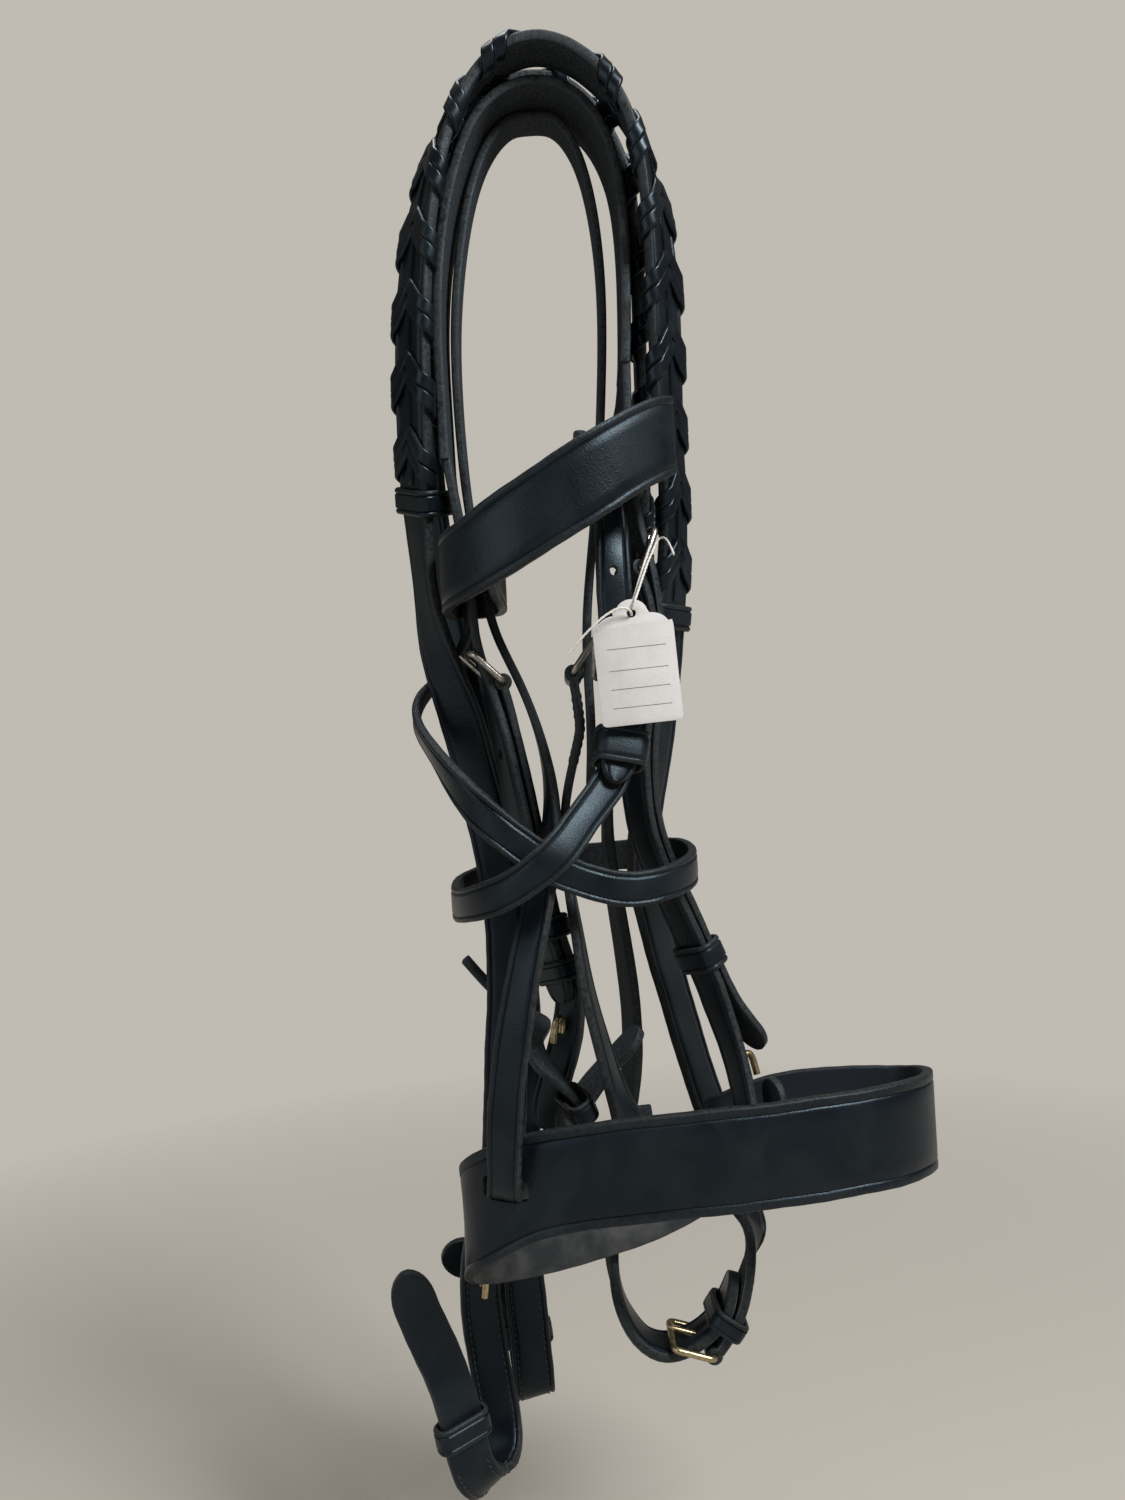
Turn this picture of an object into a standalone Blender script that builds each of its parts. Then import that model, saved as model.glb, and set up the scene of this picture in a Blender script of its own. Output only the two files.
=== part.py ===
# A black leather hunt bridle with laced reins, hanging by its crown over a hook.
# Lengths are in millimetres and become metres when a mesh is made. The origin is the
# point under the crown where the hook carries it. X runs across the picture, the front
# of the bridle faces -Y, and Z is up. The near side hangs at -X and the off side at +X.
#
# A route is a list of hand-chosen points along the middle of a strap. Each is
# (x, y, z, turn) or (x, y, z, turn, rise): turn and rise are the bearing and the slope,
# in degrees, of the strap's width, so 0 lies flat to the front, 90 shows its edge and a
# rise of 90 stands the width upright.

import math

import bmesh
import bpy
import numpy as np
from mathutils import Vector

MM = 0.001

# Leather sizes
CROWN_WIDTH = 28.0
CROWN_THICK = 3.4
CHEEK_WIDTH = 12.5
HEADSTRAP_WIDTH = 12.0
STRAP_THICK = 3.0
REIN_WIDTH = 16.0
REIN_THICK = 3.6
THROAT_WIDTH = 11.5
BROWBAND_WIDTH = 25.0
NOSEBAND_WIDTH = 34.0
BAND_THICK = 3.4
POINT_WIDTH = 7.0
RUNNER_WIDTH = 10.4
CHIN_WIDTH = 12.0
KEEPER_WALL = 1.7
KEEPER_GAP = 0.8
LAYER_GAP = 1.0
TIP_LENGTH = 8.0
TAG_THICK = 0.9
STRING_WIRE = 1.1

# Lacing of the reins
LACE_PITCH = 25.0
LACE_SPREAD = 9.0
LACE_RISE = 1.3
LACE_BAND = 5.0
LACE_GAP = 0.9

# Metal sizes
BUCKLE_WIRE = 2.4
TONGUE_WIRE = 2.0
STUD_WIRE = 2.6
BUCKLE_LENGTH = 15.0
BAR_LOOP = 3.1

# Sampling of the routes
FINE_STEP = 0.5
LONGEST_STEP = 15.0
SHARPEST_TURN = 12.0
CORNERS = ((1, 1), (-1, 1), (-1, -1), (1, -1))

# Routes
CROWN = [
    (-36, -8, -122, 90), (-36, -8, -100, 90), (-36, -8, -82, 90), (-35, -8, -62, 90),
    (-32, -8, -41, 90), (-27, -8, -22, 90), (-20, -8, -6, 90), (-10, -8, 4, 90), (2, -8, 7, 90),
    (13, -8, 4, 90), (22, -8, -5, 90), (28, -8, -20, 90), (30, -8, -39, 90), (30, -8, -59, 90),
    (29, -8, -82, 90), (28, -8, -92, 90),
]
NEAR_BILLET = [
    (-36, -15, -106, 90), (-35.5, -15, -120, 90), (-34, -15, -132, 90), (-32, -14, -147, 90),
    (-30.5, -12, -167, 90), (-29, -10, -186, 95), (-26, -9, -202, 108), (-22.5, -10, -219, 118),
    (-19.5, -12, -237, 122), (-16.5, -14, -255, 124), (-14, -15, -273, 124), (-11, -15, -289, 122),
    (-7.5, -16, -303, 130), (-5, -17.5, -312, 136),
]
OFF_BILLET = [
    (29, -15, -78, 90), (28.5, -15, -92, 90), (27.6, -15, -108, 95), (26.6, -15, -124, 100),
    (27, -16, -141, 112), (29, -17, -155, 120), (31, -17, -168, 125), (32, -17, -187, 130),
    (30, -16, -208, 130), (27.5, -15, -224, 130), (27, -12, -240, 132), (29, -8, -256, 134),
    (34, -3, -270, 135), (41, 2, -287, 135), (48, 4, -305, 135), (53.5, 5, -318, 135),
    (60, 6, -328, 135), (66.5, 7, -338, 135),
]
THROAT_BILLET = [
    (29, -1, -78, 90), (28, -1, -92, 90), (26, -3, -104, 90), (22.8, -7, -116, 85),
    (21.2, -15, -128, 70), (20, -25, -140, 45), (19.5, -33, -152, 20), (19, -37, -168, 5),
    (19, -37.5, -185, 5), (19, -37, -200, 8), (19, -37.3, -214, 6, -10), (18, -40, -226, 6, -26),
    (14, -45, -237, 8, -42),
]
HEADSTRAP = [
    (-28, -26.5, -342, 150), (-28, -26.5, -352, 150), (-28.2, -27.3, -361, 150),
    (-28.4, -30.5, -367.5, 150), (-28.2, -36.5, -369.5, 150), (-28, -41, -366.5, 150),
    (-27.5, -43, -359, 152), (-27, -44, -350, 156), (-25, -45.5, -332, 160), (-21.5, -46, -313, 158),
    (-16.5, -44, -291, 150), (-11.5, -38, -273, 136), (-7.5, -29, -257, 118), (-6, -17.5, -239, 102),
    (-8.5, -8, -220, 94), (-14.5, -3, -200, 90), (-22.3, 0, -182, 90), (-25.8, 1, -166, 90),
    (-28.5, 1.5, -147, 90), (-30.5, 1, -129, 90), (-31.5, -1, -103, 90), (-31, -3, -74, 90),
    (-28, -4, -49, 90), (-23.5, -4, -27, 90), (-17, -4, -10, 90), (-9, -4, -0.2, 90),
    (-3, -4, 1.5, 90), (3, -4, 1.5, 90), (9, -4, -0.2, 90), (15.5, -4, -10, 90), (20, -4, -28, 90),
    (22, -4, -52, 90), (21.5, -4, -77, 90), (19.5, -4, -103, 90), (17, -5, -128, 90),
    (13.5, -8, -153, 90), (10.5, -11, -175, 90), (9.5, -13, -193, 90), (9.5, -15, -211, 90),
    (9, -16, -225, 90), (8, -17, -237, 90),
]
HANGER = [
    (1.5, -14, -232, 90), (-1.5, -15, -246, 90), (-2, -17.5, -260, 88), (-1, -22, -274, 86),
    (0.8, -27.5, -288, 82), (2.6, -30, -304, 78), (6.2, -31, -321, 74), (10, -28, -338, 68),
    (13.5, -19, -352, 56), (17, -8, -364, 38), (19, 0, -374, 15), (19.8, 6, -381.5, 5),
    (20, 12, -383.5, 0), (19.8, 15.6, -379.5, 0), (19.4, 16, -369, 0), (18.8, 15.6, -360, 0),
]
THROATLATCH = [
    (-36, -1, -110, 90), (-35.6, -1, -124, 90), (-34.2, 2.5, -139, 90), (-32.6, 4.5, -153, 90),
    (-32.2, 5, -171, 90, 4), (-34.5, 7, -181, 88, 6), (-40.4, 10.2, -190, 86, 4),
    (-48, 11.4, -197.5, 100, -14), (-52.8, 3.2, -205, 106, -38), (-51.4, -9.5, -213.5, 84, -54),
    (-45, -24, -222.5, 74, -56), (-37, -38, -233, 110, -64), (-26, -44, -245.5, 90, -90),
    (-16, -45, -254, 90, -90), (-6, -43, -262, 90, -90), (7, -40, -268, 90, -90),
    (19, -39, -271, 90, -90), (31, -34, -270, 90, -90), (41, -20, -268, 90, -90),
    (43, -2, -266, 90, -90), (39, 14, -265, 90, -90), (31, 28, -266, 90, -90), (17, 38, -267, 90, -90),
    (1, 41, -268, 90, -90), (-15, 39, -270, 90, -90), (-30.5, 31.5, -272, 90, -90),
    (-41, 15, -274, 90, -90), (-41.5, -10, -275, 90, -90), (-38, -32, -274, 90, -90),
    (-30, -48, -271, 90, -90), (-20, -55, -267, 90, -90), (-11, -58, -261, 90, -86),
    (-2.5, -55.6, -254.3, -60, -72), (3.5, -49.6, -247, -20, -58),
]
BROWBAND = [
    (-20.5, -47.3, -157, 90, 90), (-20.7, -36, -158, 90, 90), (-20.7, -22, -159, 90, 90),
    (-19.8, -4, -160, 90, 90), (-21.5, 11, -160, 90, 90), (-29.5, 17, -160, 90, 90),
    (-36, 12.5, -160.5, 90, 90), (-37.3, 0, -162, 90, 90), (-37.6, -14, -163, 90, 90),
    (-37.4, -27, -163, 90, 90), (-34.5, -39, -162.5, 90, 90), (-26, -48, -160, 90, 90),
    (-14, -54.5, -154, 90, 90), (1, -57, -146, 90, 90), (16, -55, -137, 90, 90),
    (28, -49, -129.5, 90, 90), (37, -41.5, -124, 90, 90), (40.7, -34, -121.5, 90, 90),
    (36.8, -27, -121, 90, 90), (32, -19, -121, 90, 90), (31.7, -5, -121, 90, 90),
    (31, 6, -121, 90, 90), (27.5, 13, -121.5, 90, 90), (19.5, 13.5, -122, 90, 90),
    (13, 9, -122.5, 90, 90), (11.3, -2, -123.5, 90, 90), (10.6, -15, -126, 90, 90),
    (10.6, -30, -130, 90, 90), (11.3, -43, -134.5, 90, 90), (12, -51, -137.5, 90, 90),
]
NEAR_CHEEK = [
    (-4.6, -11.5, -322, 142), (-8, -10, -334, 146), (-11.5, -7, -345, 146), (-13.5, -4, -355, 145),
    (-12, 1, -361.5, 140), (-6, 5, -359, 130), (2, 6, -349, 120), (12, 5, -338, 112),
    (22, 3, -328, 110),
]
OFF_CHEEK = [
    (50.5, 2.2, -322, 130), (54.5, 0.5, -336, 122), (57, -3, -350, 115), (58, -6, -361, 110),
    (61.5, -6.5, -369.5, 108), (67, -5, -366.5, 108), (68.8, -3, -357, 112), (67.5, -0.5, -347, 116),
]
NEAR_REIN = [
    (55, -3, -415.5, 84), (57.4, 1.5, -408, 76), (58.6, 8.5, -403, 66), (57.5, 18.5, -397, 58),
    (54.5, 27.5, -384, 50),
    (49, 31, -367, 45), (43, 30, -345, 45), (38, 28, -324, 45), (33, 24, -303, 45), (29, 18, -283, 45),
    (27, 12, -268, 45), (28, 6, -253, 50), (31, 2, -238, 50), (34, 0, -220, 45), (37, -1, -201, 45),
    (40, -2.4, -179, 48), (42.6, -5, -156, 54), (43.4, -8.5, -134, 58), (42.8, -13, -110, 55),
    (42.5, -18, -87, 50), (42.5, -21, -64, 50), (41, -23, -41, 60), (37, -24, -20, 75),
    (29, -24, -2, 90), (18, -24, 10, 90), (5, -24, 16, 90), (-8, -24, 13, 90), (-20, -24, 3, 98),
    (-30, -25, -14, 112), (-37.5, -26, -36, 126), (-42, -25, -60, 133), (-44.5, -24, -84, 135),
    (-46, -20, -111, 134), (-47.3, -11.5, -137, 126), (-47, -4, -161, 116), (-44.5, -2, -185, 138),
    (-37.6, -1, -208, 164), (-32.8, 1, -231, 172), (-29, 2, -251, 178), (-26, 3, -272, 180),
    (-25, 3, -294, 180), (-26, 3, -316, 180), (-28.5, 4, -340, 180), (-30.5, 11, -362, 182),
    (-34, 20, -384, 188), (-40, 27, -406, 194), (-45, 29, -428, 200), (-43.5, 27, -453, 194, -6),
    (-40.5, 23.5, -472, 186, -18), (-38.5, 17.5, -486, 180, -34), (-41.5, 8.5, -492.5, 180, -42), (-46.5, 1, -487, 186, -34),
    (-49.8, -1.5, -475, 204, -16), (-51.8, -2, -461, 216), (-57, -2, -443, 206), (-64, -3, -425, 194),
    (-68.6, -4, -408.5, 188),
]
OFF_REIN = [
    (50, -3, -415.5, 86), (46.8, -4, -425, 90), (41.5, -4, -432.5, 90), (35.5, -4, -437, 90),
    (28.5, -4, -440, 90), (21.5, -4, -440, 90), (15.5, -3, -436.5, 90), (10.8, 3, -431, 91),
    (7.8, 12, -424, 93), (7, 22.5, -415, 96), (7.4, 31, -404, 98), (9, 34, -391, 101),
    (12.5, 34.5, -377, 105), (17, 33, -362, 105), (20, 31, -339, 105), (19, 27, -311, 105),
    (16, 24, -283, 102), (14.5, 20, -263, 95), (15, 16, -244, 90), (18.5, 14, -221, 90),
    (24, 14, -199, 90), (29, 17, -177, 90), (33.5, 20, -152, 90), (35.5, 19, -125, 90),
    (35.5, 11, -99, 90), (35.5, 3, -71, 90), (35.5, -2, -46, 90), (33.5, -3, -22, 90),
    (26.5, -3, -3, 90), (15.5, -3, 11, 90), (3, -3, 15.5, 90), (-9, -3, 13.5, 90), (-21, -4, 5, 90),
    (-31, -5, -13, 96), (-38, -4, -36, 106), (-42.5, 0, -63, 113), (-45, 8, -98, 125),
    (-46, 17, -130, 140), (-44.5, 23, -155, 150), (-40.5, 24, -183, 160), (-35.5, 22, -208, 168),
    (-30.5, 20, -237, 175), (-26.5, 20, -260, 180), (-24, 21, -286, 180), (-23, 21, -317, 180),
    (-24, 22, -346, 180), (-26, 27, -372, 180), (-27.5, 34, -398, 180), (-28.5, 39, -424, 180),
    (-27.5, 39, -448, 180), (-26.5, 38, -468, 180, -6), (-26.5, 39.5, -478, 180, -12), (-27, 44, -481, 180, -12),
    (-28, 48.5, -475, 180, -8), (-29.5, 50, -457, 180, -6),
    (-34.5, 50, -442, 180, -26), (-43, 49, -432, 180, -54), (-53, 47, -427.5, 180, -76), (-61.5, 45, -427, 180, -88),
]
CHIN_POINT = [
    (-42, 12.5, -300, 90), (-34, 12.5, -310, 90), (-26, 12.5, -318, 84), (-19.5, 11, -322, 64),
    (-14.2, 5, -324, 46), (-16.2, -4, -325.5, 10), (-16.8, -13, -328, 6), (-13.5, -21.5, -332.5, 36),
    (-7.5, -24.5, -338, 80), (-3, -22, -346, 118), (-0.5, -16, -358, 126), (2, -8, -372, 140),
    (4, -1.5, -386, 160),
]
NOSEBAND = [
    (47, 10.2, -377.2, 95, 84), (38, 10, -382, 95, 84), (28, 9.5, -387, 95, 84), (17, 9, -391, 95, 84),
    (0, 9, -396, 95, 84), (-16, 8, -399, 95, 84), (-30, 5, -400, 95, 82), (-39.5, -3, -396, 95, 80),
    (-43, -13, -389, 95, 80), (-40, -24, -381, 92, 82), (-31, -32, -373, 90, 86),
    (-18, -37, -367, 90, 90), (0, -41, -363.5, 90, 90), (17, -43, -361.5, 90, 90),
    (40, -44, -360, 90, 90), (63, -43, -359, 90, 90), (85, -40, -358, 90, 90),
    (103, -34, -358, 90, 90), (116, -23, -359, 90, 90), (121.5, -9, -361, 90, 90),
    (117, 4, -364, 90, 90), (104, 10, -365, 90, 90), (85, 11, -365, 90, 90), (66, 11, -368, 92, 88),
    (51, 10.5, -374, 95, 84),
]
CHIN_STRAP = [
    (72, 15.2, -367, 92, 88), (61, 15.8, -370.3, 94, 86), (51, 18, -374.3, 95, 84),
    (41, 19.2, -379, 95, 84), (30, 19.2, -384.5, 95, 84), (17, 19.4, -390, 95, 84),
    (2, 19.2, -394.5, 95, 84), (-13, 18, -398, 95, 84),
]
TAG_LOW = (10.5, -217.0)
TAG_HIGH = (36.5, -177.0)
TAG_DEPTH = -47.0
TAG_STRING = [
    (33.5, -28, -155), (31, -31, -159), (28, -38, -167), (25, -43.5, -175), (23.6, -44.7, -181.4),
    (23.5, -49.3, -181.4), (23.4, -49.3, -175.5),
]
STRING_TAILS = [
    [(31.2, -31, -159), (34, -38, -160), (38.5, -44, -163)],
    [(23.4, -49.3, -176.5), (16, -50, -181), (9, -50.5, -187), (3, -49.5, -193)],
]


def smooth_curve(values, parameter):
    """Cubic B-spline, pulled back through the hand-chosen points, at knot parameter."""
    rows = np.array(values, float)
    inner = rows[1:-1] - (rows[:-2] - 2 * rows[1:-1] + rows[2:]) / 6
    control = np.vstack([rows[:1], inner, rows[-1:]])
    before, after = 2 * control[0] - control[1], 2 * control[-1] - control[-2]
    control = np.vstack([before, control, after])
    span = min(int(parameter), len(rows) - 2)
    u = parameter - span
    weights = np.array([(1 - u) ** 3, 3 * u**3 - 6 * u**2 + 4, -3 * u**3 + 3 * u**2 + 3 * u + 1, u**3]) / 6
    return weights @ control[span : span + 4]


def width_direction(turn, rise=0.0):
    a, b = math.radians(turn), math.radians(rise)
    return (math.cos(a) * math.cos(b), math.sin(a) * math.cos(b), math.sin(b))


class Path:
    """A smooth route, read by distance along it, with the frame of the strap there."""

    def __init__(self, route):
        rows = [point if len(point) == 6 else point[:3] + width_direction(*point[3:]) for point in route]
        count = len(rows) - 1
        steps = 12 * count + 1
        parameters = [min(i * count / (steps - 1), count - 1e-9) for i in range(steps)]
        samples = np.array([smooth_curve(rows, value) for value in parameters])
        gaps = np.linalg.norm(np.diff(samples[:, :3], axis=0), axis=1)
        self.distance = np.concatenate([[0.0], np.cumsum(gaps)])
        self.samples = samples
        self.length = self.distance[-1]

    def place(self, s):
        return np.array([np.interp(s, self.distance, self.samples[:, k]) for k in range(6)])

    def frame(self, s):
        """(point, along, across, out) at distance s."""
        s = min(max(s, 0.0), self.length)
        here = self.place(s)
        ahead, behind = self.place(min(s + 1.5, self.length)), self.place(max(s - 1.5, 0.0))
        along = Vector(ahead[:3] - behind[:3]).normalized()
        across = Vector(here[3:])
        across = (across - across.dot(along) * along).normalized()
        return Vector(here[:3]), along, across, along.cross(across).normalized()

    def stations(self, start, end, longest=LONGEST_STEP, sharpest=SHARPEST_TURN):
        """Distances for the sections: far apart where straight, close where bent."""
        chosen = [start]
        _, along, across, _ = self.frame(start)
        s = start
        while s < end - FINE_STEP:
            s += FINE_STEP
            _, new_along, new_across, _ = self.frame(s)
            bend = math.degrees(max(along.angle(new_along), across.angle(new_across)))
            if s - chosen[-1] >= longest or bend >= sharpest:
                chosen.append(s)
                along, across = new_along, new_across
        if end - chosen[-1] < 1.0 and len(chosen) > 1:
            chosen.pop()
        return chosen + [end]


def new_object(name, bm, material):
    mesh = bpy.data.meshes.new(name)
    for vert in bm.verts:
        vert.co *= MM
    bm.to_mesh(mesh)
    bm.free()
    mesh.materials.append(material)
    obj = bpy.data.objects.new(name, mesh)
    bpy.context.scene.collection.objects.link(obj)
    return obj


def loft(name, rings, material, closed=False):
    """A closed solid through rings of equal count, capped unless it closes on itself."""
    bm = bmesh.new()
    verts = [[bm.verts.new(point) for point in ring] for ring in rings]
    count = len(rings[0])
    last = len(rings) if closed else len(rings) - 1
    for i in range(last):
        a, b = verts[i], verts[(i + 1) % len(rings)]
        for j in range(count):
            k = (j + 1) % count
            bm.faces.new((a[j], a[k], b[k], b[j]))
    if not closed:
        bm.faces.new(verts[0][::-1])
        bm.faces.new(verts[-1])
    bmesh.ops.recalc_face_normals(bm, faces=bm.faces)
    return new_object(name, bm, material)


def tip_share(distance, length):
    """Half of a rounded tip's outline: the share of full width at a distance from its end."""
    if distance >= length:
        return 1.0
    x = 1 - distance / length
    return max(0.24, math.sqrt(max(0.0, 1 - x * x)))


def strap(name, path, width, thick, material, start=0.0, end=None, tips=(0, 0), lift=0.0, thin=(1.0, 1.0)):
    """A flat strap along a path. tips are the lengths of its rounded ends, thin its skived ends."""
    end = path.length if end is None else end
    stations = path.stations(start, end)
    if tips[0]:
        kept = [s for s in stations if s > start + 0.8 * tips[0]]
        stations = [start + tips[0] * share for share in (0, 0.12, 0.4)] + kept
    if tips[1]:
        kept = [s for s in stations if s < end - 0.8 * tips[1]]
        stations = kept + [end - tips[1] * share for share in (0.4, 0.12, 0)]
    rings = []
    for s in stations:
        point, _, across, out = path.frame(s)
        half = width / 2
        half *= tip_share(s - start, tips[0]) if tips[0] else 1.0
        half *= tip_share(end - s, tips[1]) if tips[1] else 1.0
        skive = min(1.0, thin[0] + (s - start) / 25.0, thin[1] + (end - s) / 25.0)
        h = thick / 2 * skive
        centre = point + out * lift
        rings.append([centre + across * a * half + out * b * h for a, b in CORNERS])
    return loft(name, rings, material)


def rounded_ring(centre, side, up, width, height, corner, count=3):
    """Points round a rounded rectangle, in the plane of side and up."""
    points = []
    for quarter in range(4):
        cx = (width / 2 - corner) * (1, -1, -1, 1)[quarter]
        cy = (height / 2 - corner) * (1, 1, -1, -1)[quarter]
        for i in range(count):
            a = math.radians(90 * quarter + 90 * i / (count - 1))
            points.append(centre + side * (cx + corner * math.cos(a)) + up * (cy + corner * math.sin(a)))
    return points


def keeper(name, path, s, width, depth, length, material, lift=0.0, wall=KEEPER_WALL):
    """A leather loop round whatever runs in a slot of width by depth, at distance s."""
    point, along, across, out = path.frame(s)
    centre = point + out * lift
    inner_w, inner_h = width + 2 * KEEPER_GAP, depth + 2 * KEEPER_GAP
    rings = []
    for shift, grow in ((-0.5, 0), (-0.5, wall), (0.5, wall), (0.5, 0)):
        middle = centre + along * length * shift
        rings.append(rounded_ring(middle, across, out, inner_w + 2 * grow, inner_h + 2 * grow, 0.6 + grow))
    return loft(name, rings, material, closed=True)


def tube(name, points, diameter, material, sides=6, closed=False, up=None):
    """A round bar through points."""
    rings = []
    count = len(points)
    for i, point in enumerate(points):
        before = points[(i - 1) % count] if closed or i else points[i]
        after = points[(i + 1) % count] if closed or i < count - 1 else points[i]
        along = (after - before).normalized()
        side = along.cross(up if up is not None else Vector((0.13, 0.21, 0.97))).normalized()
        top = side.cross(along).normalized()
        ring = []
        for j in range(sides):
            a = 2 * math.pi * (j + 0.5) / sides
            ring.append(point + (side * math.cos(a) + top * math.sin(a)) * diameter / 2)
        rings.append(ring)
    return loft(name, rings, material, closed=closed)


def cut(obj, cutter):
    cutter.hide_render = True
    cutter.display_type = "WIRE"
    modifier = obj.modifiers.new("cut", "BOOLEAN")
    modifier.operation = "DIFFERENCE"
    modifier.object = cutter


def join_on(obj, other):
    other.hide_render = True
    other.display_type = "WIRE"
    modifier = obj.modifiers.new("join", "BOOLEAN")
    modifier.operation = "UNION"
    modifier.object = other


def block(name, centre, along, across, out, size, material):
    """A box of size (along, across, out) about a centre."""
    rings = []
    for a in (-0.5, 0.5):
        middle = centre + along * size[0] * a
        rings.append([middle + across * b * size[1] / 2 + out * c * size[2] / 2 for b, c in CORNERS])
    return loft(name, rings, material)


def alongside(path, places):
    """Route rows that keep beside a path: places are (distance along it, offset off its face)."""
    rows = []
    for s, offset in places:
        point, _, across, out = path.frame(s)
        rows.append(tuple(point + out * offset) + tuple(across))
    return rows


class Fastening:
    """Where a buckle sits on its billet. The front bar lies over the billet and the rear bar
    under it; ahead runs from the rear bar to the front bar."""

    def __init__(self, path, s, width, thick, side, flip, clear=0.7):
        point, along, across, out = path.frame(s)
        self.point, self.across, self.width, self.thick = point, across, width, thick
        self.along, self.out = along * side, out * flip
        front = thick / 2 + clear + BUCKLE_WIRE / 2
        self.rear = thick / 2 + 0.6 + BAR_LOOP
        run = math.sqrt(BUCKLE_LENGTH**2 - (front + self.rear) ** 2)
        self.rear_bar = point - self.along * run / 2 - self.out * self.rear
        self.front_bar = point + self.along * run / 2 + self.out * front
        self.ahead = (self.front_bar - self.rear_bar).normalized()
        self.up = self.ahead.cross(across).normalized()
        if self.up.dot(self.out) < 0:
            self.up = -self.up
        self.bar_place = s - side * run / 2
        self.offset = -flip * self.rear
        self.sign = -side


def buckle(name, seat, billet, holder, metal, material):
    """The frame and the tongue at a seat, the billet's hole and the holder's turn round the bar."""
    middle = (seat.rear_bar + seat.front_bar) / 2
    loop_width = seat.width + 1.4 + BUCKLE_WIRE
    points = rounded_ring(middle, seat.across, seat.ahead, loop_width, BUCKLE_LENGTH, 2.2)
    tube(name, points, BUCKLE_WIRE, metal, closed=True, up=seat.up)
    lie = BUCKLE_WIRE / 2 + TONGUE_WIRE / 2 + 0.3
    root = seat.rear_bar + seat.up * lie
    tip = seat.front_bar + seat.ahead * 2.2 + seat.up * lie
    tube(name + "_tongue", [root, tip], TONGUE_WIRE, metal, up=seat.across)

    directions = seat.along, seat.across, seat.out
    hole = block(name + "_hole", seat.point - seat.along * 2.2, *directions, (11.6, 3.6, 12.0), material)
    cut(billet, hole)
    rings = []
    inner = BUCKLE_WIRE / 2 + 0.3
    for shift, radius in ((-0.5, inner), (-0.5, BAR_LOOP), (0.5, BAR_LOOP), (0.5, inner)):
        centre = seat.rear_bar + seat.across * seat.width * shift
        rings.append(circle(centre, seat.ahead, seat.up, radius, 10))
    join_on(holder, loft(name + "_turn", rings, material, closed=True))
    gap = block(
        name + "_gap", seat.rear_bar + seat.ahead * 2.2 + seat.up * 1.6, seat.ahead, seat.across, seat.up,
        (7.0, 3.6, 6.4), material,
    )
    cut(holder, gap)


def circle(centre, side, up, radius, count):
    turns = [2 * math.pi * (i + 0.5) / count for i in range(count)]
    return [centre + (side * math.cos(a) + up * math.sin(a)) * radius for a in turns]


def leather(name, colour, roughness):
    return make_material(name, colour, roughness, 0.0)


def make_material(name, colour, roughness, metallic):
    material = bpy.data.materials.new(name)
    material.use_nodes = True
    shader = material.node_tree.nodes["Principled BSDF"]
    shader.inputs["Base Color"].default_value = (*colour, 1.0)
    shader.inputs["Roughness"].default_value = roughness
    shader.inputs["Metallic"].default_value = metallic
    return material


def lacing(name, path, start, end, width, thick, material, outward):
    """A flat thong up the middle of a rein with a chevron over each pitch, as one solid."""
    spine = strap(name, path, 3.0, 0.9, material, start, end, lift=outward * (thick / 2 + LACE_GAP + 0.45))
    count = int((end - start) // LACE_PITCH)
    for index in range(count):
        apex = start + LACE_PITCH * (index + 0.35)
        chevron = lace_chevron(f"{name}_chevron_{index}", path, apex, width, thick, material, outward)
        join_on(spine, chevron)
    return spine


def lace_chevron(name, path, apex, width, thick, material, outward):
    """One inverted V of lace: both arms run from the middle down over the rein's edges."""
    half = width / 2 + 0.3
    base = thick / 2 + LACE_GAP
    rings = []
    for share in (-1.0, -0.9, 0.0, 0.9, 1.0):
        s = apex + LACE_SPREAD * abs(share)
        point, along, across, out = path.frame(s)
        out = out * outward
        middle = point + across * share * (half + 1.0)
        low = base if abs(share) < 0.95 else -0.2
        high = base + LACE_RISE if abs(share) < 0.95 else base + 0.5
        ring = []
        for a, h in ((-0.5, low), (-0.5, high), (0.5, high), (0.5, low)):
            ring.append(middle + along * LACE_BAND * a + out * h)
        rings.append(ring)
    return loft(name, rings, material)


def clear_scene():
    for obj in list(bpy.data.objects):
        bpy.data.objects.remove(obj, do_unlink=True)


def near(path, x=None, y=None, z=None, start=0.0, end=None):
    """The distance along a path that comes closest to the given coordinates."""
    end = path.length if end is None else end
    best, found = 1e9, start
    s = start
    while s <= end:
        point = path.place(s)
        gap = sum((point[k] - want) ** 2 for k, want in enumerate((x, y, z)) if want is not None)
        if gap < best:
            best, found = gap, s
        s += 0.5
    return found


def stud(name, path, s, metal, outward, rise=4.2, thick=STRAP_THICK):
    """A brass hook stud: it stands off the strap, bends over and points back along it."""
    point, along, across, out = path.frame(s)
    out = out * outward
    base = point + out * (thick / 2 + STUD_WIRE / 2 + 0.6)
    points = [
        base + along * 4.5,
        base + along * 1.0,
        base - along * 0.8 + out * 1.2,
        base - along * 0.8 + out * (rise - 1.2),
        base + along * 1.0 + out * rise,
        base + along * 7.0 + out * rise,
    ]
    return tube(name, points, STUD_WIRE, metal, sides=6, up=across)


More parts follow.
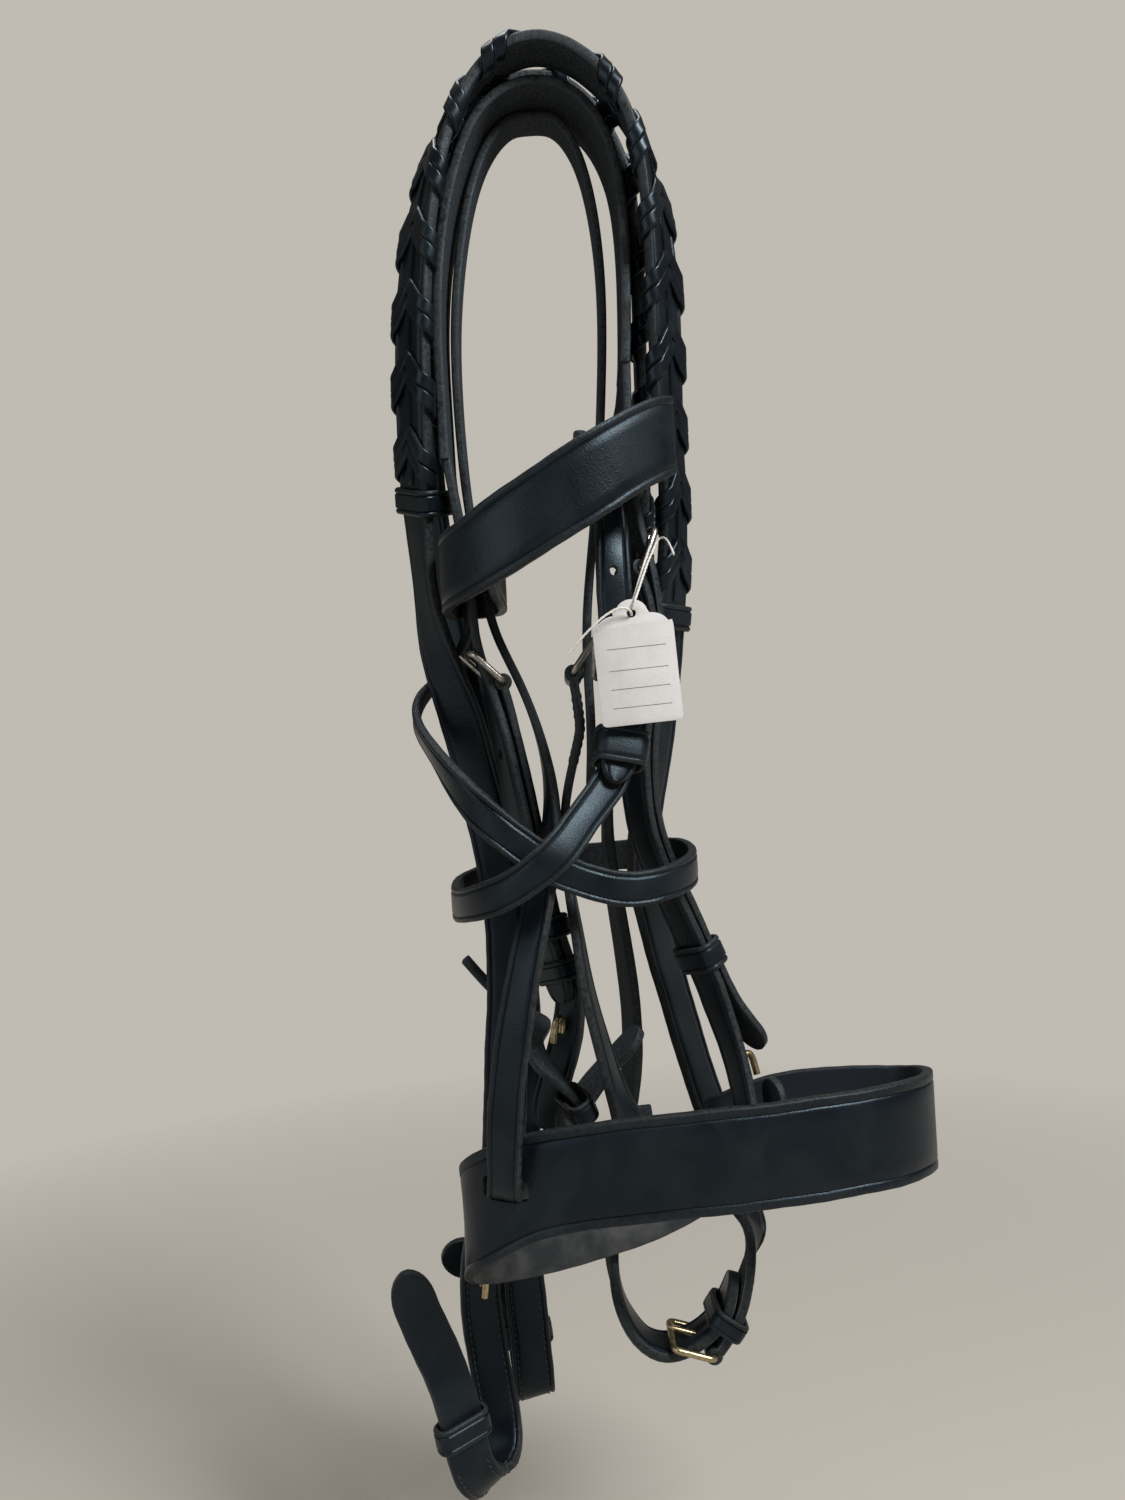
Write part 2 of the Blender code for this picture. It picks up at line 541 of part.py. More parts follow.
def swing_tag(name, corner_low, corner_high, depth, card):
    """A hang tag with a stepped top and a hole for its string."""
    (x0, z0), (x1, z1) = corner_low, corner_high
    middle = (x0 + x1) / 2
    shoulder = z1 - 6.0
    outline = [
        (x0 + 1.5, z0), (x1 - 1.5, z0), (x1, z0 + 1.5), (x1, shoulder - 1.0), (x1 - 1.6, shoulder),
        (middle + 6.5, shoulder + 2.4), (middle + 4.6, z1 - 1.4), (middle, z1), (middle - 4.6, z1 - 1.4),
        (middle - 6.5, shoulder + 2.4), (x0 + 1.6, shoulder), (x0, shoulder - 1.0), (x0, z0 + 1.5),
    ]
    rings = [[Vector((x, depth + side * TAG_THICK / 2, z)) for x, z in outline] for side in (1, -1)]
    tag = loft(name, rings, card)
    hole = tube(
        name + "_hole",
        [Vector((middle, depth - 3, z1 - 4.4)), Vector((middle, depth + 3, z1 - 4.4))],
        3.2, card, sides=10,
    )
    cut(tag, hole)
    return tag


def beside_billet(billet, seat, end):
    """The start of the strap that carries a buckle: from its rear bar along the billet's back."""
    side = 1 if seat.offset > 0 else -1
    rest = seat.thick + LAYER_GAP
    start = seat.bar_place + seat.sign * 2.0
    places = [(start + seat.sign * 7.0, side * (rest + 0.4)), (start + seat.sign * 14.0, side * rest)]
    step = 11.0
    s = start + seat.sign * 25.0
    while (end - s) * seat.sign > 0:
        places.append((s, side * rest))
        s += seat.sign * step
    if seat.sign * (end - places[-1][0]) > 2.0:
        places.append((end, side * rest))
    first = tuple(seat.rear_bar - seat.along * 2.0) + tuple(seat.across)
    return [first] + alongside(billet, places)


def build():
    clear_scene()
    black = leather("black_leather", (0.018, 0.019, 0.021), 0.45)
    lace = leather("black_lace", (0.016, 0.017, 0.019), 0.4)
    nickel = make_material("nickel", (0.72, 0.69, 0.62), 0.3, 1.0)
    brass = make_material("brass", (0.72, 0.58, 0.3), 0.3, 1.0)
    card = make_material("card", (0.86, 0.86, 0.84), 0.8, 0.0)
    thread = make_material("thread", (0.85, 0.84, 0.8), 0.9, 0.0)

    # Routes. A strap that carries a buckle starts beside the billet that the buckle holds.
    near_billet, off_billet, throat_billet = Path(NEAR_BILLET), Path(OFF_BILLET), Path(THROAT_BILLET)
    headstrap, off_rein, chin_strap = Path(HEADSTRAP), Path(OFF_REIN), Path(CHIN_STRAP)
    browband, noseband, chin_point = Path(BROWBAND), Path(NOSEBAND), Path(CHIN_POINT)
    last = headstrap.length
    places = {
        "near_cheek": (near_billet, near(near_billet, z=-194), CHEEK_WIDTH, -1, -1),
        "off_cheek": (off_billet, near(off_billet, z=-157), CHEEK_WIDTH, -1, 1),
        "headstrap": (headstrap, near(headstrap, x=9.5, z=-192, start=last - 80), HEADSTRAP_WIDTH, -1, 1),
        "throat": (throat_billet, near(throat_billet, z=-195), THROAT_WIDTH, -1, 1),
        "noseband": (chin_strap, near(chin_strap, x=33), CHIN_WIDTH, 1, 1),
    }
    seats = {
        name: Fastening(path, s, width, STRAP_THICK, side, flip)
        for name, (path, s, width, side, flip) in places.items()
    }
    on_rein = near(off_rein, x=33.5, z=-439, end=60)
    seats["rein"] = Fastening(off_rein, on_rein, REIN_WIDTH, REIN_THICK, 1, -1, clear=1.7)
    near_cheek = Path(beside_billet(near_billet, seats["near_cheek"], near(near_billet, z=-309)) + NEAR_CHEEK)
    off_cheek = Path(beside_billet(off_billet, seats["off_cheek"], near(off_billet, z=-311)) + OFF_CHEEK)
    hanger = Path(beside_billet(headstrap, seats["headstrap"], last - 18) + HANGER)
    near_rein = Path(beside_billet(off_rein, seats["rein"], 6.0) + NEAR_REIN)
    throat = Path(THROATLATCH + beside_billet(throat_billet, seats["throat"], throat_billet.length - 3)[::-1])

    # Crownpiece: the wide head, split into a cheek billet and a throat strap on each side.
    crownpiece = strap("crownpiece", Path(CROWN), CROWN_WIDTH, CROWN_THICK, black)
    throat_cut, throat_tip = 24.0, throat_billet.length - 2.0
    for leg in (
        strap("near_billet", near_billet, CHEEK_WIDTH, STRAP_THICK, black, tips=(0, TIP_LENGTH)),
        strap("off_billet", off_billet, CHEEK_WIDTH, STRAP_THICK, black, tips=(0, TIP_LENGTH)),
        strap("throat_billet", throat_billet, THROAT_WIDTH, STRAP_THICK, black, 0.0, throat_tip, (0, TIP_LENGTH)),
        strap("throat_start", throat, THROAT_WIDTH, STRAP_THICK, black, 0.0, throat_cut),
    ):
        join_on(crownpiece, leg)
    throatlatch = strap("throatlatch", throat, THROAT_WIDTH, STRAP_THICK, black, throat_cut + 0.4)

    # Browband, noseband and the straps that carry them
    strap("browband", browband, BROWBAND_WIDTH, BAND_THICK, black, thin=(0.6, 0.6))
    nose = strap("noseband", noseband, NOSEBAND_WIDTH, BAND_THICK, black)
    tips = (0, TIP_LENGTH)
    head = strap("headstrap", headstrap, HEADSTRAP_WIDTH, STRAP_THICK, black, tips=tips, thin=(0.6, 1.0))
    hang = strap("noseband_hanger", hanger, HEADSTRAP_WIDTH, STRAP_THICK, black, thin=(1.0, 0.6))
    chin = strap("chin_strap", chin_strap, CHIN_WIDTH, STRAP_THICK, black, tips=(0, TIP_LENGTH))
    strap("noseband_point", chin_point, POINT_WIDTH, STRAP_THICK, black)
    near_slot = near(noseband, x=-28.3, y=-33.5, z=-369)
    far_slot = near(noseband, x=19.5, end=60)
    for s, z in ((near_slot, -368.5), (far_slot, -382.5)):
        place, along, across, _ = noseband.frame(s)
        centre = Vector((place.x, place.y + across.y / across.z * (z - place.z), z))
        level, upright = Vector((along.x, along.y, 0)).normalized(), Vector((0, 0, 1))
        sizes = (17.5, 9.0, 16.0)
        cut(nose, block(f"noseband_slot_{s:.0f}", centre, level, upright, level.cross(upright), sizes, black))

    # Cheekpieces and reins
    near_piece = strap("near_cheekpiece", near_cheek, CHEEK_WIDTH, STRAP_THICK, black, tips=(0, TIP_LENGTH))
    off_piece = strap("off_cheekpiece", off_cheek, CHEEK_WIDTH, STRAP_THICK, black, tips=(0, TIP_LENGTH))
    near_hand = strap("near_rein", near_rein, REIN_WIDTH, REIN_THICK, black, tips=(0, 10.0))
    off_hand = strap("off_rein", off_rein, REIN_WIDTH, REIN_THICK, black, tips=(10.0, 10.0))

    # Buckles
    buckle("near_cheek_buckle", seats["near_cheek"], crownpiece, near_piece, nickel, black)
    buckle("off_cheek_buckle", seats["off_cheek"], crownpiece, off_piece, nickel, black)
    buckle("headstrap_buckle", seats["headstrap"], head, hang, nickel, black)
    buckle("throat_buckle", seats["throat"], crownpiece, throatlatch, nickel, black)
    buckle("rein_buckle", seats["rein"], off_hand, near_hand, brass, black)
    buckle("noseband_buckle", seats["noseband"], chin, nose, nickel, black)

    # Keepers: each lies round the straps that it holds together
    pair, deep = (STRAP_THICK + LAYER_GAP) / 2, 2 * STRAP_THICK + LAYER_GAP
    rein_pair, rein_deep = (REIN_THICK + LAYER_GAP) / 2, 2 * REIN_THICK + LAYER_GAP
    near_tail, off_tail = near_rein.length - 70, off_rein.length - 70
    throat_seat, near_loop = near(throat_billet, z=-224), near(near_rein, z=-467, start=near_tail)
    for name, path, s, width, depth, length, lift in (
        ("near_cheek_keeper_upper", near_billet, near(near_billet, z=-286), CHEEK_WIDTH, deep, 7.5, pair),
        ("near_cheek_keeper_lower", near_billet, near(near_billet, z=-301), CHEEK_WIDTH, deep, 7.5, pair),
        ("off_cheek_keeper", off_billet, near(off_billet, z=-301), CHEEK_WIDTH, deep, 10.0, -pair),
        ("throat_keeper", throat_billet, throat_seat, THROAT_WIDTH + 1.6, deep + 1.2, 12.0, -pair),
        ("chin_runner", chin_point, near(chin_point, z=-346), RUNNER_WIDTH, STRAP_THICK + 1.8, 9.0, 0),
        ("rein_keeper", off_rein, near(off_rein, z=-429, end=40), REIN_WIDTH, rein_deep + 0.4, 7.0, rein_pair),
        ("near_rein_keeper", near_rein, near_loop, REIN_WIDTH, REIN_THICK + 0.8, 9.0, 0),
        ("off_rein_keeper", off_rein, near(off_rein, z=-461, start=off_tail), REIN_WIDTH, REIN_THICK, 9.0, 0),
        ("noseband_keeper", chin_strap, near(chin_strap, x=-2), CHIN_WIDTH, STRAP_THICK, 7.0, 0),
    ):
        keeper(name, path, s, width, depth, length, black, lift=lift)

    # Hook studs
    near_fold, off_fold = near_rein.length - 190, off_rein.length - 150
    for name, path, s, outward, thick in (
        ("near_cheek_stud", near_cheek, near(near_cheek, z=-318, end=near_cheek.length - 70), -1, STRAP_THICK),
        ("off_cheek_stud", off_cheek, near(off_cheek, z=-340, end=off_cheek.length - 40), 1, STRAP_THICK),
        ("near_rein_stud", near_rein, near(near_rein, x=-45, z=-424, start=near_fold), -1, REIN_THICK),
        ("off_rein_stud", off_rein, near(off_rein, x=-28, z=-424, start=off_fold), 1, REIN_THICK),
    ):
        stud(name, path, s, brass, outward, thick=thick)

    # Laces, and the leather stop at each end of a laced length
    for side, path, first, final in (
        ("near", near_rein, near(near_rein, x=39, z=-178, end=400), near(near_rein, x=-48, z=-134, start=400)),
        ("off", off_rein, near(off_rein, x=33, z=-157, end=450), near(off_rein, x=-46, z=-128, start=450)),
    ):
        lacing(f"{side}_lacing", path, first + 6, final - 6, REIN_WIDTH, REIN_THICK, lace, -1)
        keeper(f"{side}_lace_stop_lower", path, first, REIN_WIDTH, REIN_THICK, 9.0, black)
        keeper(f"{side}_lace_stop_upper", path, final, REIN_WIDTH, REIN_THICK, 9.0, black)

    # Hang tag
    swing_tag("tag", TAG_LOW, TAG_HIGH, TAG_DEPTH, card)
    string = tube("tag_string", [Vector(row) for row in TAG_STRING], STRING_WIRE, thread, sides=5)
    for index, rows in enumerate(STRING_TAILS):
        tail = tube(f"string_tail_{index}", [Vector(row) for row in rows], STRING_WIRE, thread, sides=5)
        join_on(string, tail)


if __name__ == "__main__":
    build()
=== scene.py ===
# A black leather hunt bridle with laced reins, hanging by its crown.
# Lengths are in millimetres until a mesh is made, which takes metres. X runs across the
# picture, the front faces -Y and Z is up.

import math

import bmesh
import bpy
import numpy as np
from mathutils import Matrix, Vector


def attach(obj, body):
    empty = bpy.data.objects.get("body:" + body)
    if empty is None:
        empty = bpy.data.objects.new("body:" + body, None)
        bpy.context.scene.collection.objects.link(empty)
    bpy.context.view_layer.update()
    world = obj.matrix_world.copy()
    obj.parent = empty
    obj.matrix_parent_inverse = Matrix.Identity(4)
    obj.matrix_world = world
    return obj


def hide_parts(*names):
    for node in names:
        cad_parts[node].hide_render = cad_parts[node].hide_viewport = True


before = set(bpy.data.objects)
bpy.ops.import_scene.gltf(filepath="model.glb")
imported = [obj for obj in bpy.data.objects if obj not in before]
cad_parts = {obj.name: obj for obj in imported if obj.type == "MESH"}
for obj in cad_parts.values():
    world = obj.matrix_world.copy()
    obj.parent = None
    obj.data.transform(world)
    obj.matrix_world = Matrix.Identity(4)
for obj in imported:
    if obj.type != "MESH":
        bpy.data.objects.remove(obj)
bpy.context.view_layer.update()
mm = 0.001
scene = bpy.context.scene

# Routes: (x, y, z), (x, y, z, turn) or (x, y, z, turn, rise) along the middle of each strap. turn
# and rise are the bearing and the slope of the strap's width in degrees, 90 and 0 if left out.
crownRoute = [
    (-36, -8, -122), (-36, -8, -100), (-36, -8, -82), (-35, -8, -62), (-32, -8, -41), (-27, -8, -22),
    (-20, -8, -6), (-10, -8, 4), (2, -8, 7), (13, -8, 4), (22, -8, -5), (28, -8, -20), (30, -8, -39),
    (30, -8, -59), (29, -8, -82), (28, -8, -92),
]
nearBilletRoute = [
    (-36, -15, -106), (-35.5, -15, -120), (-34, -15, -132), (-32, -14, -147), (-30.5, -12, -167),
    (-29, -10, -186, 95), (-26, -9, -202, 108), (-22.5, -10, -219, 118), (-19.5, -12, -237, 122),
    (-16.5, -14, -255, 124), (-14, -15, -273, 124), (-11, -15, -289, 122), (-7.5, -16, -303, 130),
    (-5, -17.5, -312, 136),
]
offBilletRoute = [
    (29, -15, -78), (28.5, -15, -92), (27.6, -15, -108, 95), (26.6, -15, -124, 100), (27, -16, -141, 112),
    (29, -17, -155, 120), (31, -17, -168, 125), (32, -17, -187, 130), (30, -16, -208, 130),
    (27.5, -15, -224, 130), (27, -12, -240, 132), (29, -8, -256, 134), (34, -3, -270, 135),
    (41, 2, -287, 135), (48, 4, -305, 135), (53.5, 5, -318, 135), (60, 6, -328, 135), (66.5, 7, -338, 135),
]
throatBilletRoute = [
    (29, -1, -78), (28, -1, -92), (26, -3, -104), (22.8, -7, -116, 85), (21.2, -15, -128, 70),
    (20, -25, -140, 45), (19.5, -33, -152, 20), (19, -37, -168, 5), (19, -37.5, -185, 5),
    (19, -37, -200, 8), (19, -37.3, -214, 6, -10), (18, -40, -226, 6, -26), (14, -45, -237, 8, -42),
]
headstrapRoute = [
    (-28, -26.5, -342, 150), (-28, -26.5, -352, 150), (-28.2, -27.3, -361, 150),
    (-28.4, -30.5, -367.5, 150), (-28.2, -36.5, -369.5, 150), (-28, -41, -366.5, 150),
    (-27.5, -43, -359, 152), (-27, -44, -350, 156), (-25, -45.5, -332, 160), (-21.5, -46, -313, 158),
    (-16.5, -44, -291, 150), (-11.5, -38, -273, 136), (-7.5, -29, -257, 118), (-6, -17.5, -239, 102),
    (-8.5, -8, -220, 94), (-14.5, -3, -200), (-22.3, 0, -182), (-25.8, 1, -166), (-28.5, 1.5, -147),
    (-30.5, 1, -129), (-31.5, -1, -103), (-31, -3, -74), (-28, -4, -49), (-23.5, -4, -27), (-17, -4, -10),
    (-9, -4, -0.2), (-3, -4, 1.5), (3, -4, 1.5), (9, -4, -0.2), (15.5, -4, -10), (20, -4, -28),
    (22, -4, -52), (21.5, -4, -77), (19.5, -4, -103), (17, -5, -128), (13.5, -8, -153), (10.5, -11, -175),
    (9.5, -13, -193), (9.5, -15, -211), (9, -16, -225), (8, -17, -237),
]
hangerRoute = [
    (1.5, -14, -232), (-1.5, -15, -246), (-2, -17.5, -260, 88), (-1, -22, -274, 86), (0.8, -27.5, -288, 82),
    (2.6, -30, -304, 78), (6.2, -31, -321, 74), (10, -28, -338, 68), (13.5, -19, -352, 56),
    (17, -8, -364, 38), (19, 0, -374, 15), (19.8, 6, -381.5, 5), (20, 12, -383.5, 0),
    (19.8, 15.6, -379.5, 0), (19.4, 16, -369, 0), (18.8, 15.6, -360, 0),
]
throatlatchRoute = [
    (-36, -1, -110), (-35.6, -1, -124), (-34.2, 2.5, -139), (-32.6, 4.5, -153), (-32.2, 5, -171, 90, 4),
    (-34.5, 7, -181, 88, 6), (-40.4, 10.2, -190, 86, 4), (-48, 11.4, -197.5, 100, -14),
    (-52.8, 3.2, -205, 106, -38), (-51.4, -9.5, -213.5, 84, -54), (-45, -24, -222.5, 74, -56),
    (-37, -38, -233, 110, -64), (-26, -44, -245.5, 90, -90), (-16, -45, -254, 90, -90),
    (-6, -43, -262, 90, -90), (7, -40, -268, 90, -90), (19, -39, -271, 90, -90), (31, -34, -270, 90, -90),
    (41, -20, -268, 90, -90), (43, -2, -266, 90, -90), (39, 14, -265, 90, -90), (31, 28, -266, 90, -90),
    (17, 38, -267, 90, -90), (1, 41, -268, 90, -90), (-15, 39, -270, 90, -90), (-30.5, 31.5, -272, 90, -90),
    (-41, 15, -274, 90, -90), (-41.5, -10, -275, 90, -90), (-38, -32, -274, 90, -90),
    (-30, -48, -271, 90, -90), (-20, -55, -267, 90, -90), (-11, -58, -261, 90, -86),
    (-2.5, -55.6, -254.3, -60, -72), (3.5, -49.6, -247, -20, -58),
]
browbandRoute = [(*place, 90, 90) for place in (
    (-20.5, -47.3, -157), (-20.7, -36, -158), (-20.7, -22, -159), (-19.8, -4, -160), (-21.5, 11, -160),
    (-29.5, 17, -160), (-36, 12.5, -160.5), (-37.3, 0, -162), (-37.6, -14, -163), (-37.4, -27, -163),
    (-34.5, -39, -162.5), (-26, -48, -160), (-14, -54.5, -154), (1, -57, -146), (16, -55, -137),
    (28, -49, -129.5), (37, -41.5, -124), (40.7, -34, -121.5), (36.8, -27, -121), (32, -19, -121),
    (31.7, -5, -121), (31, 6, -121), (27.5, 13, -121.5), (19.5, 13.5, -122), (13, 9, -122.5),
    (11.3, -2, -123.5), (10.6, -15, -126), (10.6, -30, -130), (11.3, -43, -134.5), (12, -51, -137.5),
)]
nearCheekRoute = [
    (-4.6, -11.5, -322, 142), (-8, -10, -334, 146), (-11.5, -7, -345, 146), (-13.5, -4, -355, 145),
    (-12, 1, -361.5, 140), (-6, 5, -359, 130), (2, 6, -349, 120), (12, 5, -338, 112), (22, 3, -328, 110),
]
offCheekRoute = [
    (50.5, 2.2, -322, 130), (54.5, 0.5, -336, 122), (57, -3, -350, 115), (58, -6, -361, 110),
    (61.5, -6.5, -369.5, 108), (67, -5, -366.5, 108), (68.8, -3, -357, 112), (67.5, -0.5, -347, 116),
]
nearReinRoute = [
    (55, -3, -415.5, 84), (57.4, 1.5, -408, 76), (58.6, 8.5, -403, 66), (57.5, 18.5, -397, 58),
    (54.5, 27.5, -384, 50), (49, 31, -367, 45), (43, 30, -345, 45), (38, 28, -324, 45), (33, 24, -303, 45),
    (29, 18, -283, 45), (27, 12, -268, 45), (28, 6, -253, 50), (31, 2, -238, 50), (34, 0, -220, 45),
    (37, -1, -201, 45), (40, -2.4, -179, 48), (42.6, -5, -156, 54), (43.4, -8.5, -134, 58),
    (42.8, -13, -110, 55), (42.5, -18, -87, 50), (42.5, -21, -64, 50), (41, -23, -41, 60),
    (37, -24, -20, 75), (29, -24, -2), (18, -24, 10), (5, -24, 16), (-8, -24, 13), (-20, -24, 3, 98),
    (-30, -25, -14, 112), (-37.5, -26, -36, 126), (-42, -25, -60, 133), (-44.5, -24, -84, 135),
    (-46, -20, -111, 134), (-47.3, -11.5, -137, 126), (-47, -4, -161, 116), (-44.5, -2, -185, 138),
    (-37.6, -1, -208, 164), (-32.8, 1, -231, 172), (-29, 2, -251, 178), (-26, 3, -272, 180),
    (-25, 3, -294, 180), (-26, 3, -316, 180), (-28.5, 4, -340, 180), (-30.5, 11, -362, 182),
    (-34, 20, -384, 188), (-40, 27, -406, 194), (-45, 29, -428, 200), (-43.5, 27, -453, 194, -6),
    (-40.5, 23.5, -472, 186, -18), (-38.5, 17.5, -486, 180, -34), (-41.5, 8.5, -492.5, 180, -42),
    (-46.5, 1, -487, 186, -34), (-49.8, -1.5, -475, 204, -16), (-51.8, -2, -461, 216), (-57, -2, -443, 206),
    (-64, -3, -425, 194), (-68.6, -4, -408.5, 188),
]
offReinRoute = [
    (50, -3, -415.5, 86), (46.8, -4, -425), (41.5, -4, -432.5), (35.5, -4, -437), (28.5, -4, -440),
    (21.5, -4, -440), (15.5, -3, -436.5), (10.8, 3, -431, 91), (7.8, 12, -424, 93), (7, 22.5, -415, 96),
    (7.4, 31, -404, 98), (9, 34, -391, 101), (12.5, 34.5, -377, 105), (17, 33, -362, 105),
    (20, 31, -339, 105), (19, 27, -311, 105), (16, 24, -283, 102), (14.5, 20, -263, 95), (15, 16, -244),
    (18.5, 14, -221), (24, 14, -199), (29, 17, -177), (33.5, 20, -152), (35.5, 19, -125), (35.5, 11, -99),
    (35.5, 3, -71), (35.5, -2, -46), (33.5, -3, -22), (26.5, -3, -3), (15.5, -3, 11), (3, -3, 15.5),
    (-9, -3, 13.5), (-21, -4, 5), (-31, -5, -13, 96), (-38, -4, -36, 106), (-42.5, 0, -63, 113),
    (-45, 8, -98, 125), (-46, 17, -130, 140), (-44.5, 23, -155, 150), (-40.5, 24, -183, 160),
    (-35.5, 22, -208, 168), (-30.5, 20, -237, 175), (-26.5, 20, -260, 180), (-24, 21, -286, 180),
    (-23, 21, -317, 180), (-24, 22, -346, 180), (-26, 27, -372, 180), (-27.5, 34, -398, 180),
    (-28.5, 39, -424, 180), (-27.5, 39, -448, 180), (-26.5, 38, -468, 180, -6),
    (-26.5, 39.5, -478, 180, -12), (-27, 44, -481, 180, -12), (-28, 48.5, -475, 180, -8),
    (-29.5, 50, -457, 180, -6), (-34.5, 50, -442, 180, -26), (-43, 49, -432, 180, -54),
    (-53, 47, -427.5, 180, -76), (-61.5, 45, -427, 180, -88),
]
chinPointRoute = [
    (-42, 12.5, -300), (-34, 12.5, -310), (-26, 12.5, -318, 84), (-19.5, 11, -322, 64),
    (-14.2, 5, -324, 46), (-16.2, -4, -325.5, 10), (-16.8, -13, -328, 6), (-13.5, -21.5, -332.5, 36),
    (-7.5, -24.5, -338, 80), (-3, -22, -346, 118), (-0.5, -16, -358, 126), (2, -8, -372, 140),
    (4, -1.5, -386, 160),
]
nosebandRoute = [
    (47, 10.2, -377.2, 95, 84), (38, 10, -382, 95, 84), (28, 9.5, -387, 95, 84), (17, 9, -391, 95, 84),
    (0, 9, -396, 95, 84), (-16, 8, -399, 95, 84), (-30, 5, -400, 95, 82), (-39.5, -3, -396, 95, 80),
    (-43, -13, -389, 95, 80), (-40, -24, -381, 92, 82), (-31, -32, -373, 90, 86), (-18, -37, -367, 90, 90),
    (0, -41, -363.5, 90, 90), (17, -43, -361.5, 90, 90), (40, -44, -360, 90, 90), (63, -43, -359, 90, 90),
    (85, -40, -358, 90, 90), (103, -34, -358, 90, 90), (116, -23, -359, 90, 90), (121.5, -9, -361, 90, 90),
    (117, 4, -364, 90, 90), (104, 10, -365, 90, 90), (85, 11, -365, 90, 90), (66, 11, -368, 92, 88),
    (51, 10.5, -374, 95, 84),
]
chinStrapRoute = [
    (72, 15.2, -367, 92, 88), (61, 15.8, -370.3, 94, 86), (51, 18, -374.3, 95, 84),
    (41, 19.2, -379, 95, 84), (30, 19.2, -384.5, 95, 84), (17, 19.4, -390, 95, 84),
    (2, 19.2, -394.5, 95, 84), (-13, 18, -398, 95, 84),
]

strapSizes = {
    "crownWidth": 28.0, "crownThick": 3.4, "cheekWidth": 12.5, "headstrapWidth": 12.0, "strapThick": 3.0,
    "reinWidth": 16.0, "reinThick": 3.6, "throatWidth": 11.5, "browbandWidth": 25.0, "nosebandWidth": 34.0,
    "bandThick": 3.4, "pointWidth": 7.0, "chinWidth": 12.0, "layerGap": 1.0, "tipLength": 8.0,
    "skiveLength": 25.0, "endRound": 0.45, "endThin": 0.8, "endNarrow": 0.35, "step": 2.2,
    "creaseInset": 1.9, "creaseDepth": 0.46, "creaseWidth": 0.7, "waver": (0.1, 0.21), "ripple": (0.05, 0.67),
}
keeperSizes = {"wall": 1.7, "gap": 0.8, "corner": 2.3}
buckleSizes = {
    "wire": 2.4, "tongue": 2.0, "length": 15.0, "barLoop": 3.1, "corner": 2.2, "sideGap": 1.4,
    "tongueGap": 0.3, "tongueReach": 2.2, "tongueSlot": (7.0, 3.4, 6.4), "tongueHole": (11.8, 3.6),
    "slotAhead": 2.2, "slotUp": 1.6, "holeBack": 2.2, "billetHole": (3.6, 2.7), "punchBack": 7.0,
    "punchFirst": 12.0, "punchLast": 10.0, "punchClear": 10.0, "rearGap": 0.6,
    "tongueTaper": (0.62, 0.95, 1, 1, 1, 1, 1, 0.98, 0.94, 0.84, 0.5),
}


def unit(vectors):
    return vectors / np.linalg.norm(vectors, axis=-1, keepdims=True)


def splineSamples(rows, perSpan=16):
    # cubic B-spline pulled back through the given points
    rows = np.array(rows, float)
    inner = rows[1:-1] - (rows[:-2] - 2 * rows[1:-1] + rows[2:]) / 6
    control = np.vstack([rows[:1], inner, rows[-1:]])
    control = np.vstack([2 * control[0] - control[1], control, 2 * control[-1] - control[-2]])
    spans = len(rows) - 1
    knots = np.linspace(0, spans, perSpan * spans + 1)
    first = np.minimum(knots.astype(int), spans - 1)
    u = (knots - first)[:, None]
    weights = ((1 - u) ** 3, 3 * u**3 - 6 * u**2 + 4, -3 * u**3 + 3 * u**2 + 3 * u + 1, u**3)
    return sum(weight * control[first + k] for k, weight in enumerate(weights)) / 6


def widthDirection(turn=90.0, rise=0.0):
    a, b = math.radians(turn), math.radians(rise)
    return (math.cos(a) * math.cos(b), math.sin(a) * math.cos(b), math.sin(b))


def runLengths(points):
    # how far along a row of points each one lies
    return np.concatenate([[0.0], np.cumsum(np.linalg.norm(np.diff(points, axis=0), axis=1))])


class StrapRoute:
    # a smooth route, read by distance along it, with the strap's own directions there
    def __init__(self, route):
        rows = [row if len(row) == 6 else tuple(row[:3]) + widthDirection(*row[3:]) for row in route]
        self.samples = splineSamples(rows)
        self.distance = runLengths(self.samples[:, :3])
        self.length = self.distance[-1]

    def place(self, s):
        return np.stack([np.interp(s, self.distance, self.samples[:, k]) for k in range(6)], -1)

    def frames(self, s):
        s = np.clip(np.asarray(s, float), 0.0, self.length)
        here = self.place(s)
        ahead, behind = self.place(np.minimum(s + 1.5, self.length)), self.place(np.maximum(s - 1.5, 0.0))
        along = unit(ahead[..., :3] - behind[..., :3])
        across = here[..., 3:]
        across = unit(across - (across * along).sum(-1, keepdims=True) * along)
        return here[..., :3], along, across, unit(np.cross(along, across))

    def near(self, start=0.0, end=None, **wanted):
        s = np.arange(start, self.length if end is None else end, 0.5)
        places = self.place(s)
        gap = sum((places[:, "xyz".index(axis)] - value) ** 2 for axis, value in wanted.items())
        return float(s[np.argmin(gap)])


def linked(name, data):
    obj = bpy.data.objects.new(name, data)
    scene.collection.objects.link(obj)
    return obj


def newPiece(name, points, faces, material, uvMaps=None):
    # uvMaps: name -> one (u, v) per corner, in the order of the faces' corners
    mesh = bpy.data.meshes.new(name)
    mesh.from_pydata((np.asarray(points, float) * mm).tolist(), [], faces)
    for label, values in (uvMaps or {}).items():
        layer = mesh.uv_layers.new(name=label)
        layer.data.foreach_set("uv", np.asarray(values, np.float32).ravel())
    mesh.materials.append(material)
    return linked(name, mesh)


def settle(obj, angle=38.0):
    # outward faces, smooth shading, sharp only at true corners
    work = bmesh.new()
    work.from_mesh(obj.data)
    bmesh.ops.recalc_face_normals(work, faces=work.faces)
    work.to_mesh(obj.data)
    work.free()
    obj.data.shade_smooth()
    obj.data.set_sharp_from_angle(angle=math.radians(angle))
    return obj


